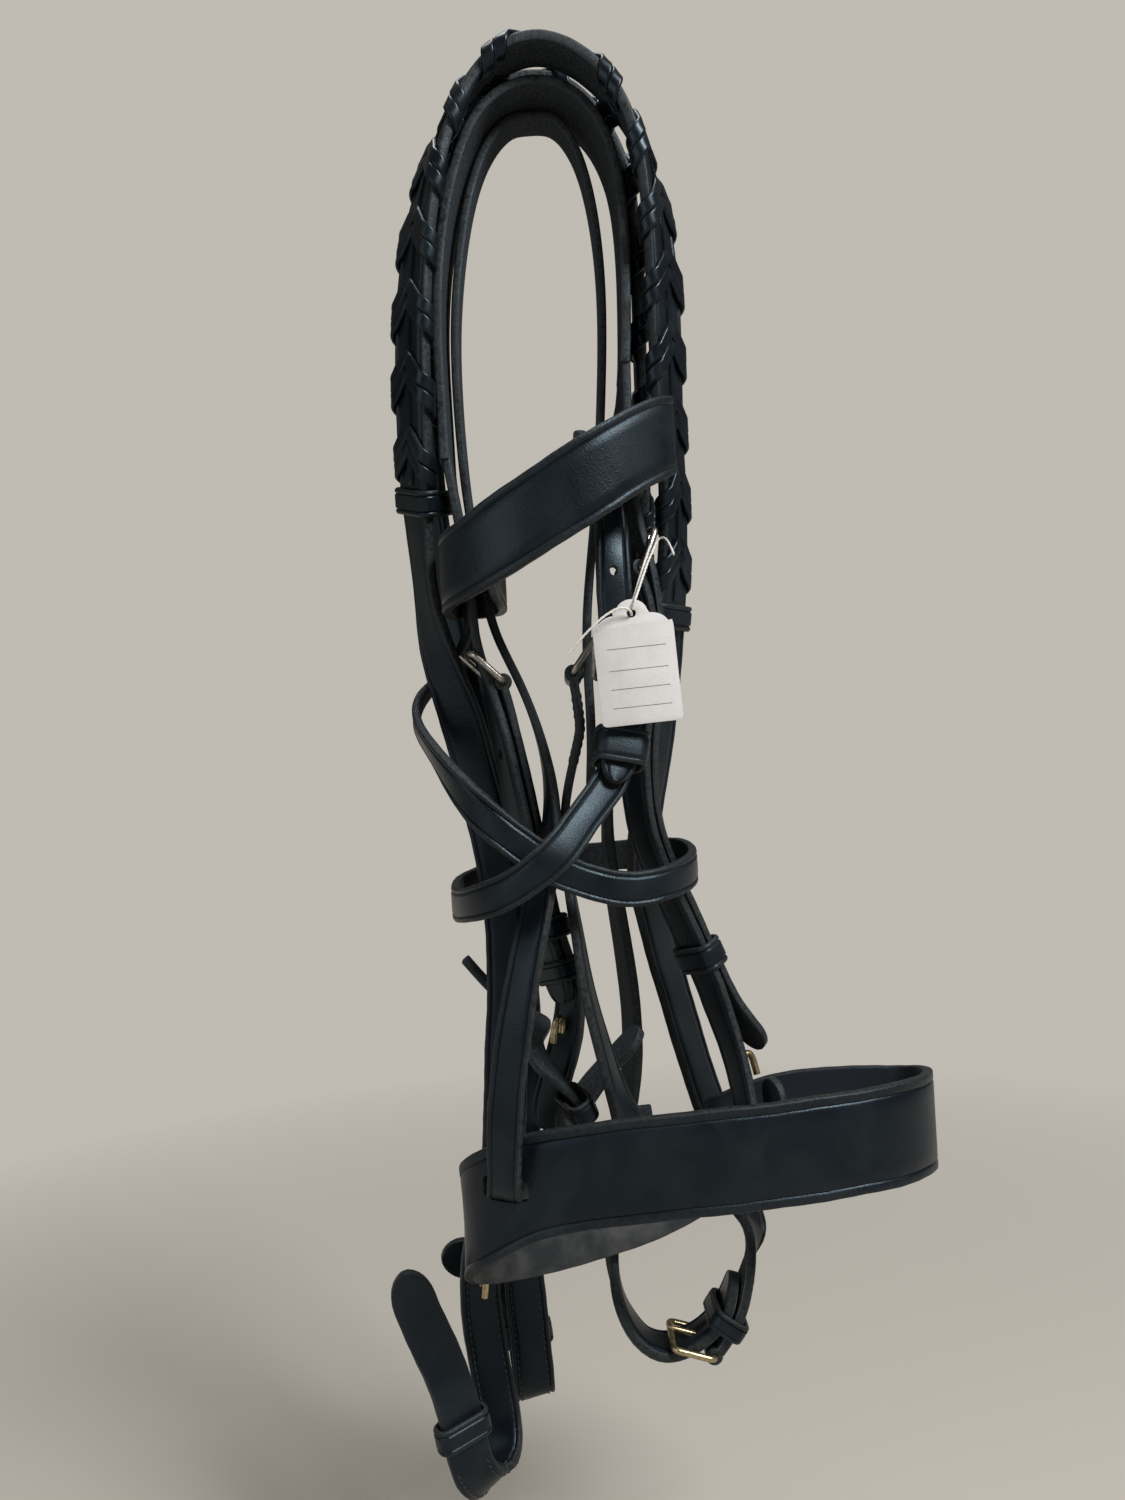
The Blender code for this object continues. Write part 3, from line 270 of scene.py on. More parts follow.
def flipped(rows):
    # the same rows on the other side of the middle
    return [(-row[0], *row[1:]) for row in rows]


def strapSection(thick, crease=True, inset=None):
    # rows of (share of half width, inset from the edge, height, rim, flesh), grain side up
    half = thick / 2
    depth = strapSizes["creaseDepth"] if crease else 0.0
    inset, spread = inset or strapSizes["creaseInset"], strapSizes["creaseWidth"]
    # the rim shares of 0.3 and 0.22 on the bead between the edge and the crease paint a highlight along it
    left = [
        (1, 0.0, -half * 0.2, 1, 0), (1, 0.0, half * 0.35, 1, 0), (1, 0.12, half - 0.42, 0.9, 0),
        (1, 0.42, half - 0.12, 0.55, 0), (1, 0.9, half, 0.3, 0), (1, inset - spread, half + 0.02, 0.22, 0),
        (1, inset - spread * 0.35, half - depth * 0.6, 0, 0), (1, inset, half - depth, 0, 0),
        (1, inset + spread * 0.35, half - depth * 0.6, 0, 0), (1, inset + spread, half + 0.02, 0, 0),
        (0.5, 0.0, half + 0.08, 0, 0),
    ]
    grain = flipped(left) + [(0, 0.0, half + 0.1, 0, 0)] + left[::-1]
    back = [
        (1, 0.05, -half * 0.7, 0.9, 0.3), (1, 0.3, -half + 0.1, 0.7, 0.8), (1, 0.9, -half, 0.1, 1),
        (0.5, 0.0, -half, 0, 1),
    ]
    return np.array(grain + back + [(0, 0.0, -half, 0, 1)] + flipped(back[::-1]), float)


def ringFaces(count, around, closed=False):
    # quads between rings of points, then a cap on each end unless the rings close on themselves
    faces = []
    for i in range(count if closed else count - 1):
        j = (i + 1) % count
        for k in range(around):
            n = (k + 1) % around
            faces.append((i * around + k, i * around + n, j * around + n, j * around + k))
    if not closed:
        faces += [tuple(range(around - 1, -1, -1)), tuple((count - 1) * around + k for k in range(around))]
    return faces


def sweepStrap(
    name, frames, stations, halves, thick, section, material, closed=False, fullHalf=None, flesh=None
):
    # a closed solid: the section carried along the frames, with halves its half width at each
    points, across, out = frames
    fullHalf = halves.max() if fullHalf is None else fullHalf
    shrink = np.minimum(halves / fullHalf, 1.0)[:, None]
    share, inset, height = section[:, 0], section[:, 1], section[:, 2]
    side = np.sign(share)
    x = share[None] * halves[:, None] - side[None] * inset[None] * shrink
    z = np.broadcast_to(height[None], x.shape) * np.asarray(thick, float).reshape(-1, 1)
    rings = points[:, None] + across[:, None] * x[..., None] + out[:, None] * z[..., None]
    count, around = rings.shape[:2]
    flat = np.stack([share * fullHalf - side * inset, height], 1)
    perimeter = runLengths(np.vstack([flat, flat[:1]]))
    flesh = np.ones(count) if flesh is None else flesh
    place, wearAndHighlight = [], []
    for i in range(count if closed else count - 1):
        j = (i + 1) % count
        v0, v1 = stations[i], stations[j] if j > i else stations[i] + (stations[1] - stations[0])
        for k in range(around):
            place += [(perimeter[k], v0), (perimeter[k + 1], v0), (perimeter[k + 1], v1), (perimeter[k], v1)]
            (rimK, fleshK), (rimN, fleshN) = section[k, 3:], section[(k + 1) % around, 3:]
            wearAndHighlight += [(rimK, fleshK * flesh[i]), (rimN, fleshN * flesh[i])]
            wearAndHighlight += [(rimN, fleshN * flesh[j]), (rimK, fleshK * flesh[j])]
    if not closed:
        for ring, order in ((0, range(around - 1, -1, -1)), (count - 1, range(around))):
            place += [(perimeter[k], stations[ring]) for k in order]
            wearAndHighlight += [(1.0, 0.0)] * around
    maps = {"strapMap": place, "wearMap": wearAndHighlight}
    return newPiece(name, rings.reshape(-1, 3), ringFaces(count, around, closed), material, maps)


def strap(
    name, route, width, thick, material, start=0.0, end=None, tips=(0, 0), lift=0.0, thin=(1.0, 1.0), grain=1,
    crease=True, inset=None, lined=None, flesh=1.0,
):
    # a flat strap along a route: tips are the lengths of its rounded ends, thin its skived ends,
    # and from the distance lined on it is two layers sewn back to back, so both faces are smooth;
    # flesh of a half gives it a smooth lining
    end = route.length if end is None else end
    rounded = strapSizes["endRound"]
    count = max(2, int((end - start) / strapSizes["step"]))
    stations = np.linspace(start, end, count + 1)
    ease = 1 - np.cos(np.linspace(0, math.pi / 2, 8))
    if tips[0]:
        stations = np.concatenate([start + tips[0] * ease, stations[stations > start + tips[0] * 1.05]])
    else:
        stations = np.concatenate([[start, start + rounded], stations[stations > start + 1.0]])
    if tips[1]:
        stations = np.concatenate([stations[stations < end - tips[1] * 1.05], (end - tips[1] * ease)[::-1]])
    else:
        stations = np.concatenate([stations[stations < end - 1.0], [end - rounded, end]])
    half = np.full(len(stations), width / 2)
    for length, gap in ((tips[0], stations - start), (tips[1], end - stations)):
        if length:
            x = np.clip(1 - gap / length, 0, 1)
            half *= np.maximum(0.2, np.sqrt(1 - x * x))
    # hand-cut edges are never quite straight
    (waver, waverRate), (ripple, rippleRate) = strapSizes["waver"], strapSizes["ripple"]
    waves = waver * np.sin(stations * waverRate + len(name)) * (half > width * 0.49)
    half += waves + ripple * np.sin(stations * rippleRate)
    taper = strapSizes["skiveLength"]
    skive = np.minimum(thin[0] + (stations - start) / taper, thin[1] + (end - stations) / taper)
    skive = np.minimum(1.0, skive)
    skive[[0, -1]] *= strapSizes["endThin"]
    half[[0, -1]] -= strapSizes["endNarrow"]
    points, _, across, out = route.frames(stations)
    frames = (points + out * lift, across, out * grain)
    flesh = np.full(len(stations), flesh) if lined is None else np.clip((lined - stations) / 3.0, 0, 1)
    section = strapSection(thick, crease, inset)
    return sweepStrap(name, frames, stations, half, skive, section, material, fullHalf=width / 2, flesh=flesh)


def roundedRing(centre, side, up, width, height, corner):
    # points and outward directions round a rounded rectangle
    points, outs, perCorner = [], [], 7
    for quarter in range(4):
        cx = (width / 2 - corner) * (1, -1, -1, 1)[quarter]
        cy = (height / 2 - corner) * (1, 1, -1, -1)[quarter]
        for i in range(perCorner):
            a = math.radians(90 * quarter + 90 * i / (perCorner - 1))
            outward = side * math.cos(a) + up * math.sin(a)
            points.append(centre + side * cx + up * cy + outward * corner)
            outs.append(outward)
    return np.array(points), np.array(outs)


def keeper(name, route, s, width, depth, length, lift=0.0):
    # a leather loop round the straps it holds, with a crease near each edge
    wall, gap = keeperSizes["wall"], keeperSizes["gap"]
    centre, along, across, out = route.frames(s)
    wide, high = width + 2 * gap + wall, depth + 2 * gap + wall
    corner = min(keeperSizes["corner"] + wall / 2, high / 2 - 0.02)
    ring, outs = roundedRing(centre + out * lift, across, out, wide, high, corner)
    frames = (ring, np.repeat(along[None], len(ring), 0), outs)
    half, section = np.full(len(ring), length / 2), strapSection(wall)
    return settle(sweepStrap(name, frames, runLengths(ring), half, 1.0, section, blackLeather, closed=True))


def tubeRings(points, radii, sides, closed, up):
    # rings round a bar through points
    points = np.asarray(points, float)
    if closed:
        along = np.roll(points, -1, 0) - np.roll(points, 1, 0)
    else:
        along = np.gradient(points, axis=0)
    along = unit(along)
    side = unit(np.cross(along, up))
    top = unit(np.cross(side, along))
    turns = 2 * math.pi * (np.arange(sides) + 0.5) / sides
    radii = np.broadcast_to(np.asarray(radii, float).reshape(-1, 1), (len(points), 1))
    spokes = side[:, None] * np.cos(turns)[None, :, None] + top[:, None] * np.sin(turns)[None, :, None]
    return points[:, None] + spokes * radii[..., None]


def tube(name, points, radii, material, up, closed=False):
    rings = tubeRings(points, radii, 14, closed, up)
    return settle(newPiece(name, rings.reshape(-1, 3), ringFaces(*rings.shape[:2], closed), material))


def joinAll(name, objects):
    # one object from several, at the origin
    bpy.ops.object.select_all(action="DESELECT")
    for obj in objects:
        obj.select_set(True)
    bpy.context.view_layer.objects.active = objects[0]
    bpy.ops.object.join()
    objects[0].name = name
    return objects[0]


def applyAll(obj):
    # every modifier into the mesh
    bpy.context.view_layer.update()
    graph = bpy.context.evaluated_depsgraph_get()
    evaluated = obj.evaluated_get(graph)
    mesh = bpy.data.meshes.new_from_object(evaluated, preserve_all_data_layers=True, depsgraph=graph)
    obj.modifiers.clear()
    obj.data = mesh
    return obj


def carve(obj, tools, operation="DIFFERENCE"):
    for tool in tools:
        modifier = obj.modifiers.new("carve", "BOOLEAN")
        modifier.operation, modifier.object, modifier.solver = operation, tool, "EXACT"
    applyAll(obj)
    for tool in tools:
        bpy.data.objects.remove(tool, do_unlink=True)
    return obj


def cutter(points, faces):
    # a solid that cuts straps: the cut faces show as raw edges
    corners = sum(len(face) for face in faces)
    maps = {"strapMap": [(0, 0)] * corners, "wearMap": [(1, 0)] * corners}
    return settle(newPiece("cutter", points, faces, blackLeather, maps))


def block(centre, along, across, out, size):
    # a box to cut with, of size (along, across, out)
    corners = [(a, b, c) for a in (-0.5, 0.5) for b in (-0.5, 0.5) for c in (-0.5, 0.5)]
    points = [centre + along * size[0] * a + across * size[1] * b + out * size[2] * c for a, b, c in corners]
    faces = [(0, 1, 3, 2), (4, 6, 7, 5), (0, 4, 5, 1), (2, 3, 7, 6), (0, 2, 6, 4), (1, 5, 7, 3)]
    return cutter(points, faces)


def ovalPunch(centre, along, across, out, size, depth=3.2, power=2.0):
    # a punch for an oval hole through a strap: size is (along, across), a high power squares it
    points, sides = [], 20
    for level in (-depth, depth):
        for i in range(sides):
            a = 2 * math.pi * i / sides
            c, s = math.cos(a), math.sin(a)
            x = math.copysign(abs(c) ** (2 / power), c) * size[0] / 2
            y = math.copysign(abs(s) ** (2 / power), s) * size[1] / 2
            points.append(centre + along * x + across * y + out * level)
    return cutter(points, ringFaces(2, sides))


def barTurn(seat):
    # the leather's turn round a buckle's rear bar: a sleeve with softened ends
    half, inner, outer = seat.width / 2, buckleSizes["wire"] / 2 + 0.15, buckleSizes["barLoop"]
    profile = [(-half, inner), (-half, outer - 0.5), (-half + 0.15, outer - 0.15), (-half + 0.5, outer)]
    profile += flipped(profile[::-1])
    sides = 28
    turns = 2 * math.pi * np.arange(sides) / sides
    points = [
        seat.rearBar + seat.across * x + (seat.ahead * math.cos(a) + seat.up * math.sin(a)) * radius
        for a in turns for x, radius in profile
    ]
    place, wearAndHighlight = [], []
    for v0 in turns * outer:
        v1 = v0 + 0.7
        for (x0, _), (x1, _) in zip(profile, profile[1:] + profile[:1]):
            u0, u1 = x0 + half, x1 + half
            place += [(u0, v0), (u1, v0), (u1, v1), (u0, v1)]
            edge0, edge1 = (1.0 if abs(x) > half - 0.3 else 0.0 for x in (x0, x1))
            wearAndHighlight += [(edge0, 0), (edge1, 0), (edge1, 0), (edge0, 0)]
    maps = {"strapMap": place, "wearMap": wearAndHighlight}
    return settle(newPiece("turn", points, ringFaces(sides, len(profile), True), blackLeather, maps))


class Fastening:
    # where a buckle sits on its billet: the front bar lies over it and the rear bar under it
    def __init__(self, route, s, width, thick, side, flip, clear=0.7):
        point, along, across, out = route.frames(s)
        self.point, self.across, self.width, self.thick = point, across, width, thick
        self.along, self.out = along * side, out * flip
        front = thick / 2 + clear + buckleSizes["wire"] / 2
        self.rear = thick / 2 + buckleSizes["rearGap"] + buckleSizes["barLoop"]
        run = math.sqrt(buckleSizes["length"] ** 2 - (front + self.rear) ** 2)
        self.rearBar = point - self.along * run / 2 - self.out * self.rear
        self.frontBar = point + self.along * run / 2 + self.out * front
        self.ahead = unit(self.frontBar - self.rearBar)
        self.up = unit(np.cross(self.ahead, across))
        if self.up @ self.out < 0:
            self.up = -self.up
        self.barPlace = s - side * run / 2
        self.offset = -flip * self.rear
        self.sign = -side


# Along a billet's back: easing points are (distance, extra gap), then one point every so far
layerSteps = {"start": 2.0, "easing": ((7.0, 0.4), (14.0, 0.0)), "even": 25.0, "every": 11.0, "last": 2.0}


def besideBillet(billet, seat, end):
    # the start of the strap that carries a buckle: from its rear bar along the billet's back
    side = 1 if seat.offset > 0 else -1
    rest = side * (seat.thick + strapSizes["layerGap"])
    start = seat.barPlace + seat.sign * layerSteps["start"]
    places = [(start + seat.sign * step, rest + side * extra) for step, extra in layerSteps["easing"]]
    s = start + seat.sign * layerSteps["even"]
    while (end - s) * seat.sign > 0:
        places.append((s, rest))
        s += seat.sign * layerSteps["every"]
    if seat.sign * (end - places[-1][0]) > layerSteps["last"]:
        places.append((end, rest))
    rows = [tuple(seat.rearBar - seat.along * layerSteps["start"]) + tuple(seat.across)]
    for s, offset in places:
        point, _, across, out = billet.frames(s)
        rows.append(tuple(point + out * offset) + tuple(across))
    return rows


def add(tree, kind, values=None, **properties):
    # one node: values are its inputs by name or number, each a constant or another node's output
    node = tree.nodes.new(kind)
    for key, value in properties.items():
        setattr(node, key, value)
    for key, value in (values or {}).items():
        if isinstance(value, bpy.types.NodeSocket):
            tree.links.new(value, node.inputs[key])
        else:
            node.inputs[key].default_value = value
    return node


def mixColour(tree, factor, first, second):
    return add(tree, "ShaderNodeMix", {0: factor, 6: first, 7: second}, data_type="RGBA").outputs[2]


def calculate(tree, operation, first, second):
    return add(tree, "ShaderNodeMath", {0: first, 1: second}, operation=operation).outputs[0]


def summed(tree, total, *terms):
    # terms are (value, share) pairs
    for value, share in terms:
        total = calculate(tree, "ADD", total, calculate(tree, "MULTIPLY", value, share))
    return total


def ranged(tree, value, low, high, newLow=0.0, newHigh=1.0):
    values = {"Value": value, "From Min": low, "From Max": high, "To Min": newLow, "To Max": newHigh}
    return add(tree, "ShaderNodeMapRange", values).outputs["Result"]


def noise(tree, vector, scale, detail, distortion=0.0):
    values = {"Vector": vector, "Scale": scale, "Detail": detail, "Distortion": distortion}
    return add(tree, "ShaderNodeTexNoise", values).outputs["Fac"]


def roughen(tree, shader, height, strength, distance):
    bump = add(tree, "ShaderNodeBump", {"Strength": strength, "Distance": distance, "Height": height})
    tree.links.new(bump.outputs["Normal"], shader.inputs["Normal"])


def newMaterial(name, roughness, metallic=0.0):
    material = bpy.data.materials.new(name)
    material.use_nodes = True
    tree = material.node_tree
    shader = tree.nodes["Principled BSDF"]
    shader.inputs["Roughness"].default_value = roughness
    shader.inputs["Metallic"].default_value = metallic
    position = add(tree, "ShaderNodeTexCoord").outputs["Object"]
    scaled = add(tree, "ShaderNodeVectorMath", {0: position, "Scale": 1 / mm}, operation="SCALE")
    return material, tree, shader, scaled.outputs[0]


# edge is the colour of the raw rim and of the painted highlight along each bead
leatherLook = {
    "face": (0.0028, 0.0046, 0.0078, 1), "bloom": (0.012, 0.0155, 0.019, 1), "edge": (0.034, 0.035, 0.034, 1),
    "flesh": (0.043, 0.046, 0.049, 1), "fleshDark": (0.010, 0.012, 0.015, 1), "gloss": 0.33, "specular": 0.29,
    "tint": (0.66, 0.87, 1.0, 1), "lining": (0.105, 0.107, 0.108, 1), "liningDark": (0.014, 0.017, 0.022, 1),
    "liningLow": (-381.0, -394.0), "poreScale": 1.6, "grainDepth": 0.0002, "grain": 0.34,
}
laceLook = dict(
    leatherLook, face=(0.0030, 0.0044, 0.0074, 1), bloom=(0.010, 0.013, 0.016, 1), gloss=0.27, grain=0.2
)


def leatherMaterial(name, look):
    # strapMap runs across and along the strap in mm; the other map holds its raw rim and its flesh side,
    # where a half is a smooth lining with a painted sheen, lighter low down; the rim share also paints
    # a highlight along each bead
    material, tree, shader, place = newMaterial(name, look["gloss"])
    flat = add(tree, "ShaderNodeUVMap", uv_map="strapMap").outputs["UV"]
    wearAndHighlight = add(tree, "ShaderNodeUVMap", uv_map="wearMap").outputs["UV"]
    rim, flesh, _ = add(tree, "ShaderNodeSeparateXYZ", {0: wearAndHighlight}).outputs
    pores = add(tree, "ShaderNodeTexVoronoi", {"Vector": flat, "Scale": look["poreScale"]})
    pores = pores.outputs["Distance"]
    fine, fibre = noise(tree, flat, 1.9, 4.0), noise(tree, flat, 1.1, 5.0, 1.2)
    stretched = add(tree, "ShaderNodeMapping", {"Vector": flat, "Scale": (0.10, 0.75, 1.0)}).outputs[0]
    folds = noise(tree, stretched, 1.0, 4.0, 0.4)
    cloud = ranged(tree, noise(tree, place, 0.045, 4.0, 0.6), 0.38, 0.68)
    scuff = ranged(tree, noise(tree, place, 0.32, 6.0, 1.0), 0.6, 0.85)
    bloom = calculate(tree, "MULTIPLY", cloud, ranged(tree, pores, 0.1, 0.7, 0.45, 0.85))
    bloom = calculate(tree, "MAXIMUM", bloom, calculate(tree, "MULTIPLY", scuff, 0.4))
    # the raw rim, and the painted highlight along each bead, take the edge colour
    rawAndHighlight = calculate(tree, "MULTIPLY", rim, ranged(tree, noise(tree, place, 0.7, 4.0), 0.35, 0.62, 0.25, 1.0))
    face = mixColour(tree, rawAndHighlight, mixColour(tree, bloom, look["face"], look["bloom"]), look["edge"])
    back = mixColour(tree, ranged(tree, fibre, 0.35, 0.66), look["fleshDark"], look["flesh"])
    fromHalf = calculate(tree, "ABSOLUTE", calculate(tree, "SUBTRACT", flesh, 0.5), 0.0)
    lining = ranged(tree, fromHalf, 0.02, 0.2, 1.0, 0.0)
    # the lining's painted sheen: its light lining colour fills in patchily towards the bottom, higher up it
    # stays dark
    low = ranged(tree, add(tree, "ShaderNodeSeparateXYZ", {0: place}).outputs["Z"], *look["liningLow"])
    liningSheen = calculate(tree, "MULTIPLY", low, ranged(tree, noise(tree, place, 0.09, 3.0), 0.36, 0.6, 0.3, 1.0))
    sheenedLining = mixColour(tree, liningSheen, look["liningDark"], look["lining"])
    skin = mixColour(tree, lining, mixColour(tree, flesh, face, back), sheenedLining)
    tree.links.new(skin, shader.inputs["Base Color"])
    dull = summed(tree, look["gloss"] - 0.06, (fine, 0.16), (cloud, 0.08), (rawAndHighlight, 0.22))
    dull = calculate(tree, "MAXIMUM", dull, calculate(tree, "MULTIPLY", flesh, 0.88))
    tree.links.new(dull, shader.inputs["Roughness"])
    roughBack = calculate(tree, "MULTIPLY", calculate(tree, "MAXIMUM", flesh, rawAndHighlight), fibre)
    height = calculate(tree, "MULTIPLY", pores, 0.5)
    height = summed(tree, height, (folds, 0.8), (fine, 0.35), (roughBack, 2.2))
    roughen(tree, shader, height, look["grain"], look["grainDepth"])
    shader.inputs["Specular IOR Level"].default_value = look["specular"]
    shader.inputs["Specular Tint"].default_value = look["tint"]
    return material


metalLooks = {
    "nickelMetal": {"bright": (0.44, 0.42, 0.38, 1), "dim": (0.17, 0.155, 0.13, 1), "gloss": 0.3},
    "brassMetal": {"bright": (0.52, 0.43, 0.26, 1), "dim": (0.22, 0.165, 0.09, 1), "gloss": 0.3},
}


def metalMaterial(name):
    look = metalLooks[name]
    material, tree, shader, place = newMaterial(name, look["gloss"], 1.0)
    tarnish = ranged(tree, noise(tree, place, 0.55, 5.0, 0.8), 0.45, 0.75)
    tree.links.new(mixColour(tree, tarnish, look["bright"], look["dim"]), shader.inputs["Base Color"])
    dull = ranged(tree, tarnish, 0.0, 1.0, look["gloss"], look["gloss"] + 0.28)
    tree.links.new(dull, shader.inputs["Roughness"])
    brushed = add(tree, "ShaderNodeMapping", {"Vector": place, "Scale": (3.0, 3.0, 0.5)}).outputs[0]
    roughen(tree, shader, noise(tree, brushed, 1.2, 4.0), 0.12, 0.0001)
    return material


def fibreMaterial(name, light, dark, scale, roughness):
    # card, string, thread and ink
    material, tree, shader, place = newMaterial(name, roughness)
    mottle = noise(tree, place, scale, 5.0)
    broad = noise(tree, place, scale * 0.08, 2.0)
    both = summed(tree, calculate(tree, "MULTIPLY", mottle, 0.5), (broad, 0.5))
    tree.links.new(mixColour(tree, ranged(tree, both, 0.35, 0.65), light, dark), shader.inputs["Base Color"])
    roughen(tree, shader, mottle, 0.3, 0.0001)
    return material


blackLeather = leatherMaterial("blackLeather", leatherLook)
laceLeather = leatherMaterial("laceLeather", laceLook)
nickelMetal, brassMetal = metalMaterial("nickelMetal"), metalMaterial("brassMetal")
tagCard = fibreMaterial("tagCard", (0.68, 0.67, 0.66, 1), (0.60, 0.59, 0.58, 1), 1.6, 0.75)
cottonString = fibreMaterial("cottonString", (0.80, 0.79, 0.75, 1), (0.62, 0.60, 0.55, 1), 3.0, 0.9)
reinThread = fibreMaterial("reinThread", (0.045, 0.047, 0.052, 1), (0.018, 0.019, 0.022, 1), 4.0, 0.7)
ruleInk = fibreMaterial("ruleInk", (0.13, 0.13, 0.14, 1), (0.24, 0.24, 0.25, 1), 2.0, 0.8)
print("materials ready")


def geometryTree(name, inputs):
    # an empty tree with a geometry in, a geometry out and named inputs
    tree = bpy.data.node_groups.new(name, "GeometryNodeTree")
    tree.interface.new_socket("Geometry", in_out="INPUT", socket_type="NodeSocketGeometry")
    for label, (kind, value) in inputs.items():
        socket = tree.interface.new_socket(label, in_out="INPUT", socket_type=kind)
        if value is not None:
            socket.default_value = value
    tree.interface.new_socket("Geometry", in_out="OUTPUT", socket_type="NodeSocketGeometry")
    return tree, tree.nodes.new("NodeGroupInput"), tree.nodes.new("NodeGroupOutput")


def finishTree(tree, source, sink, geometry):
    whole = add(tree, "GeometryNodeRealizeInstances", {"Geometry": geometry}).outputs[0]
    values = {"Geometry": whole, "Material": source.outputs["Material"]}
    tree.links.new(add(tree, "GeometryNodeSetMaterial", values).outputs[0], sink.inputs["Geometry"])


def storedValue(tree, name, kind):
    return add(tree, "GeometryNodeInputNamedAttribute", {"Name": name}, data_type=kind).outputs[0]


def stitchTree():
    # a stitch every Pitch along each line, lying on the face that "outward" gives
    number = "NodeSocketFloat"
    tree, source, sink = geometryTree("stitches", {
        "Pitch": (number, 0.0035), "Stitch Length": (number, 0.0024), "Thread": (number, 0.0006),
        "Slant": (number, 0.2), "Seed": ("NodeSocketInt", 3), "Material": ("NodeSocketMaterial", None),
    })
    given = source.outputs
    line = add(tree, "GeometryNodeMeshToCurve", {"Mesh": given["Geometry"]}).outputs[0]
    values = {"Curve": line, "Length": given["Pitch"]}
    line = add(tree, "GeometryNodeResampleCurve", values, mode="LENGTH").outputs[0]
    values = {"Vector": add(tree, "GeometryNodeInputTangent").outputs[0]}
    turn = add(tree, "FunctionNodeAlignRotationToVector", values, axis="X").outputs[0]
    values = {"Rotation": turn, "Vector": storedValue(tree, "outward", "FLOAT_VECTOR")}
    turn = add(tree, "FunctionNodeAlignRotationToVector", values, axis="Z", pivot_axis="X").outputs[0]
    sway = add(tree, "FunctionNodeRandomValue", {2: -0.08, 3: 0.08, "Seed": given["Seed"]}).outputs[1]
    angle = calculate(tree, "ADD", given["Slant"], sway)
    slant = add(tree, "FunctionNodeAxisAngleToRotation", {"Axis": (0, 0, 1), "Angle": angle}).outputs[0]
    values = {"Rotation": turn, "Rotate By": slant}
    turn = add(tree, "FunctionNodeRotateRotation", values, rotation_space="LOCAL").outputs[0]
    bead = add(tree, "GeometryNodeMeshUVSphere", {"Segments": 8, "Rings": 6, "Radius": 0.5}).outputs[0]
    values = {0: given["Stitch Length"], 1: given["Thread"], 2: given["Thread"]}
    size = add(tree, "ShaderNodeCombineXYZ", values).outputs[0]
    bead = add(tree, "GeometryNodeTransform", {"Geometry": bead, "Scale": size}).outputs[0]
    values = {"Points": line, "Instance": bead, "Rotation": turn}
    beads = add(tree, "GeometryNodeInstanceOnPoints", values).outputs[0]
    finishTree(tree, source, sink, beads)
    return tree


def thongTree():
    # a flat soft-edged thong along each line, its face towards "outward", as wide as "girth" says
    number = "NodeSocketFloat"
    tree, source, sink = geometryTree("thongs", {
        "Width": (number, 0.0046), "Thickness": (number, 0.0012), "Material": ("NodeSocketMaterial", None),
    })
    given = source.outputs
    line = add(tree, "GeometryNodeMeshToCurve", {"Mesh": given["Geometry"]}).outputs[0]
    values = {"Curve": line, "Normal": storedValue(tree, "outward", "FLOAT_VECTOR")}
    line = add(tree, "GeometryNodeSetCurveNormal", values, mode="FREE").outputs[0]
    values = {"Width": given["Thickness"], "Height": given["Width"]}
    outline = add(tree, "GeometryNodeCurvePrimitiveQuadrilateral", values).outputs[0]
    corner = calculate(tree, "MULTIPLY", given["Thickness"], 0.49)
    values = {"Curve": outline, "Radius": corner, "Count": 4}
    outline = add(tree, "GeometryNodeFilletCurve", values, mode="POLY").outputs[0]
    girth = storedValue(tree, "girth", "FLOAT")
    values = {"Curve": line, "Profile Curve": outline, "Scale": girth, "Fill Caps": True}
    finishTree(tree, source, sink, add(tree, "GeometryNodeCurveToMesh", values).outputs[0])
    return tree


def growAlong(name, tree, lines, values, material):
    # lines: (points in mm, outward directions, girth) rows; the result is one plain mesh
    points, outward, girth = (np.concatenate([line[k] for line in lines]) for k in range(3))
    edges, first = [], 0
    for line in lines:
        edges += [(first + k, first + k + 1) for k in range(len(line[0]) - 1)]
        first += len(line[0])
    mesh = bpy.data.meshes.new(name)
    mesh.from_pydata((points * mm).tolist(), edges, [])
    for label, kind, key, rows in (
        ("outward", "FLOAT_VECTOR", "vector", outward), ("girth", "FLOAT", "value", girth),
    ):
        layer = mesh.attributes.new(label, kind, "POINT")
        layer.data.foreach_set(key, rows.astype(np.float32).ravel())
    obj = linked(name, mesh)
    modifier = obj.modifiers.new("grow", "NODES")
    modifier.node_group = tree
    for item in tree.interface.items_tree:
        if item.item_type == "SOCKET" and item.in_out == "INPUT" and item.name != "Geometry":
            modifier[item.identifier] = material if item.name == "Material" else values[item.name]
    return applyAll(obj)


def routeLine(route, start, end, offset, face, height):
    # a line on a strap's face: offset is its distance from the strap's middle
    s = np.linspace(start, end, max(3, int(abs(end - start) / 1.5)))
    points, _, across, out = route.frames(s)
    return points + across * offset + out * (face * height), out * face, np.ones(len(s))


stitches, thongs = stitchTree(), thongTree()
stitchSizes = {"Pitch": 0.0026, "Stitch Length": 0.0020, "Thread": 0.00055, "Slant": 0.18, "Seed": 3}


def onBody(obj, body, slot, *nodes):
    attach(obj, body)
    if nodes:
        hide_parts(*nodes)
    return obj


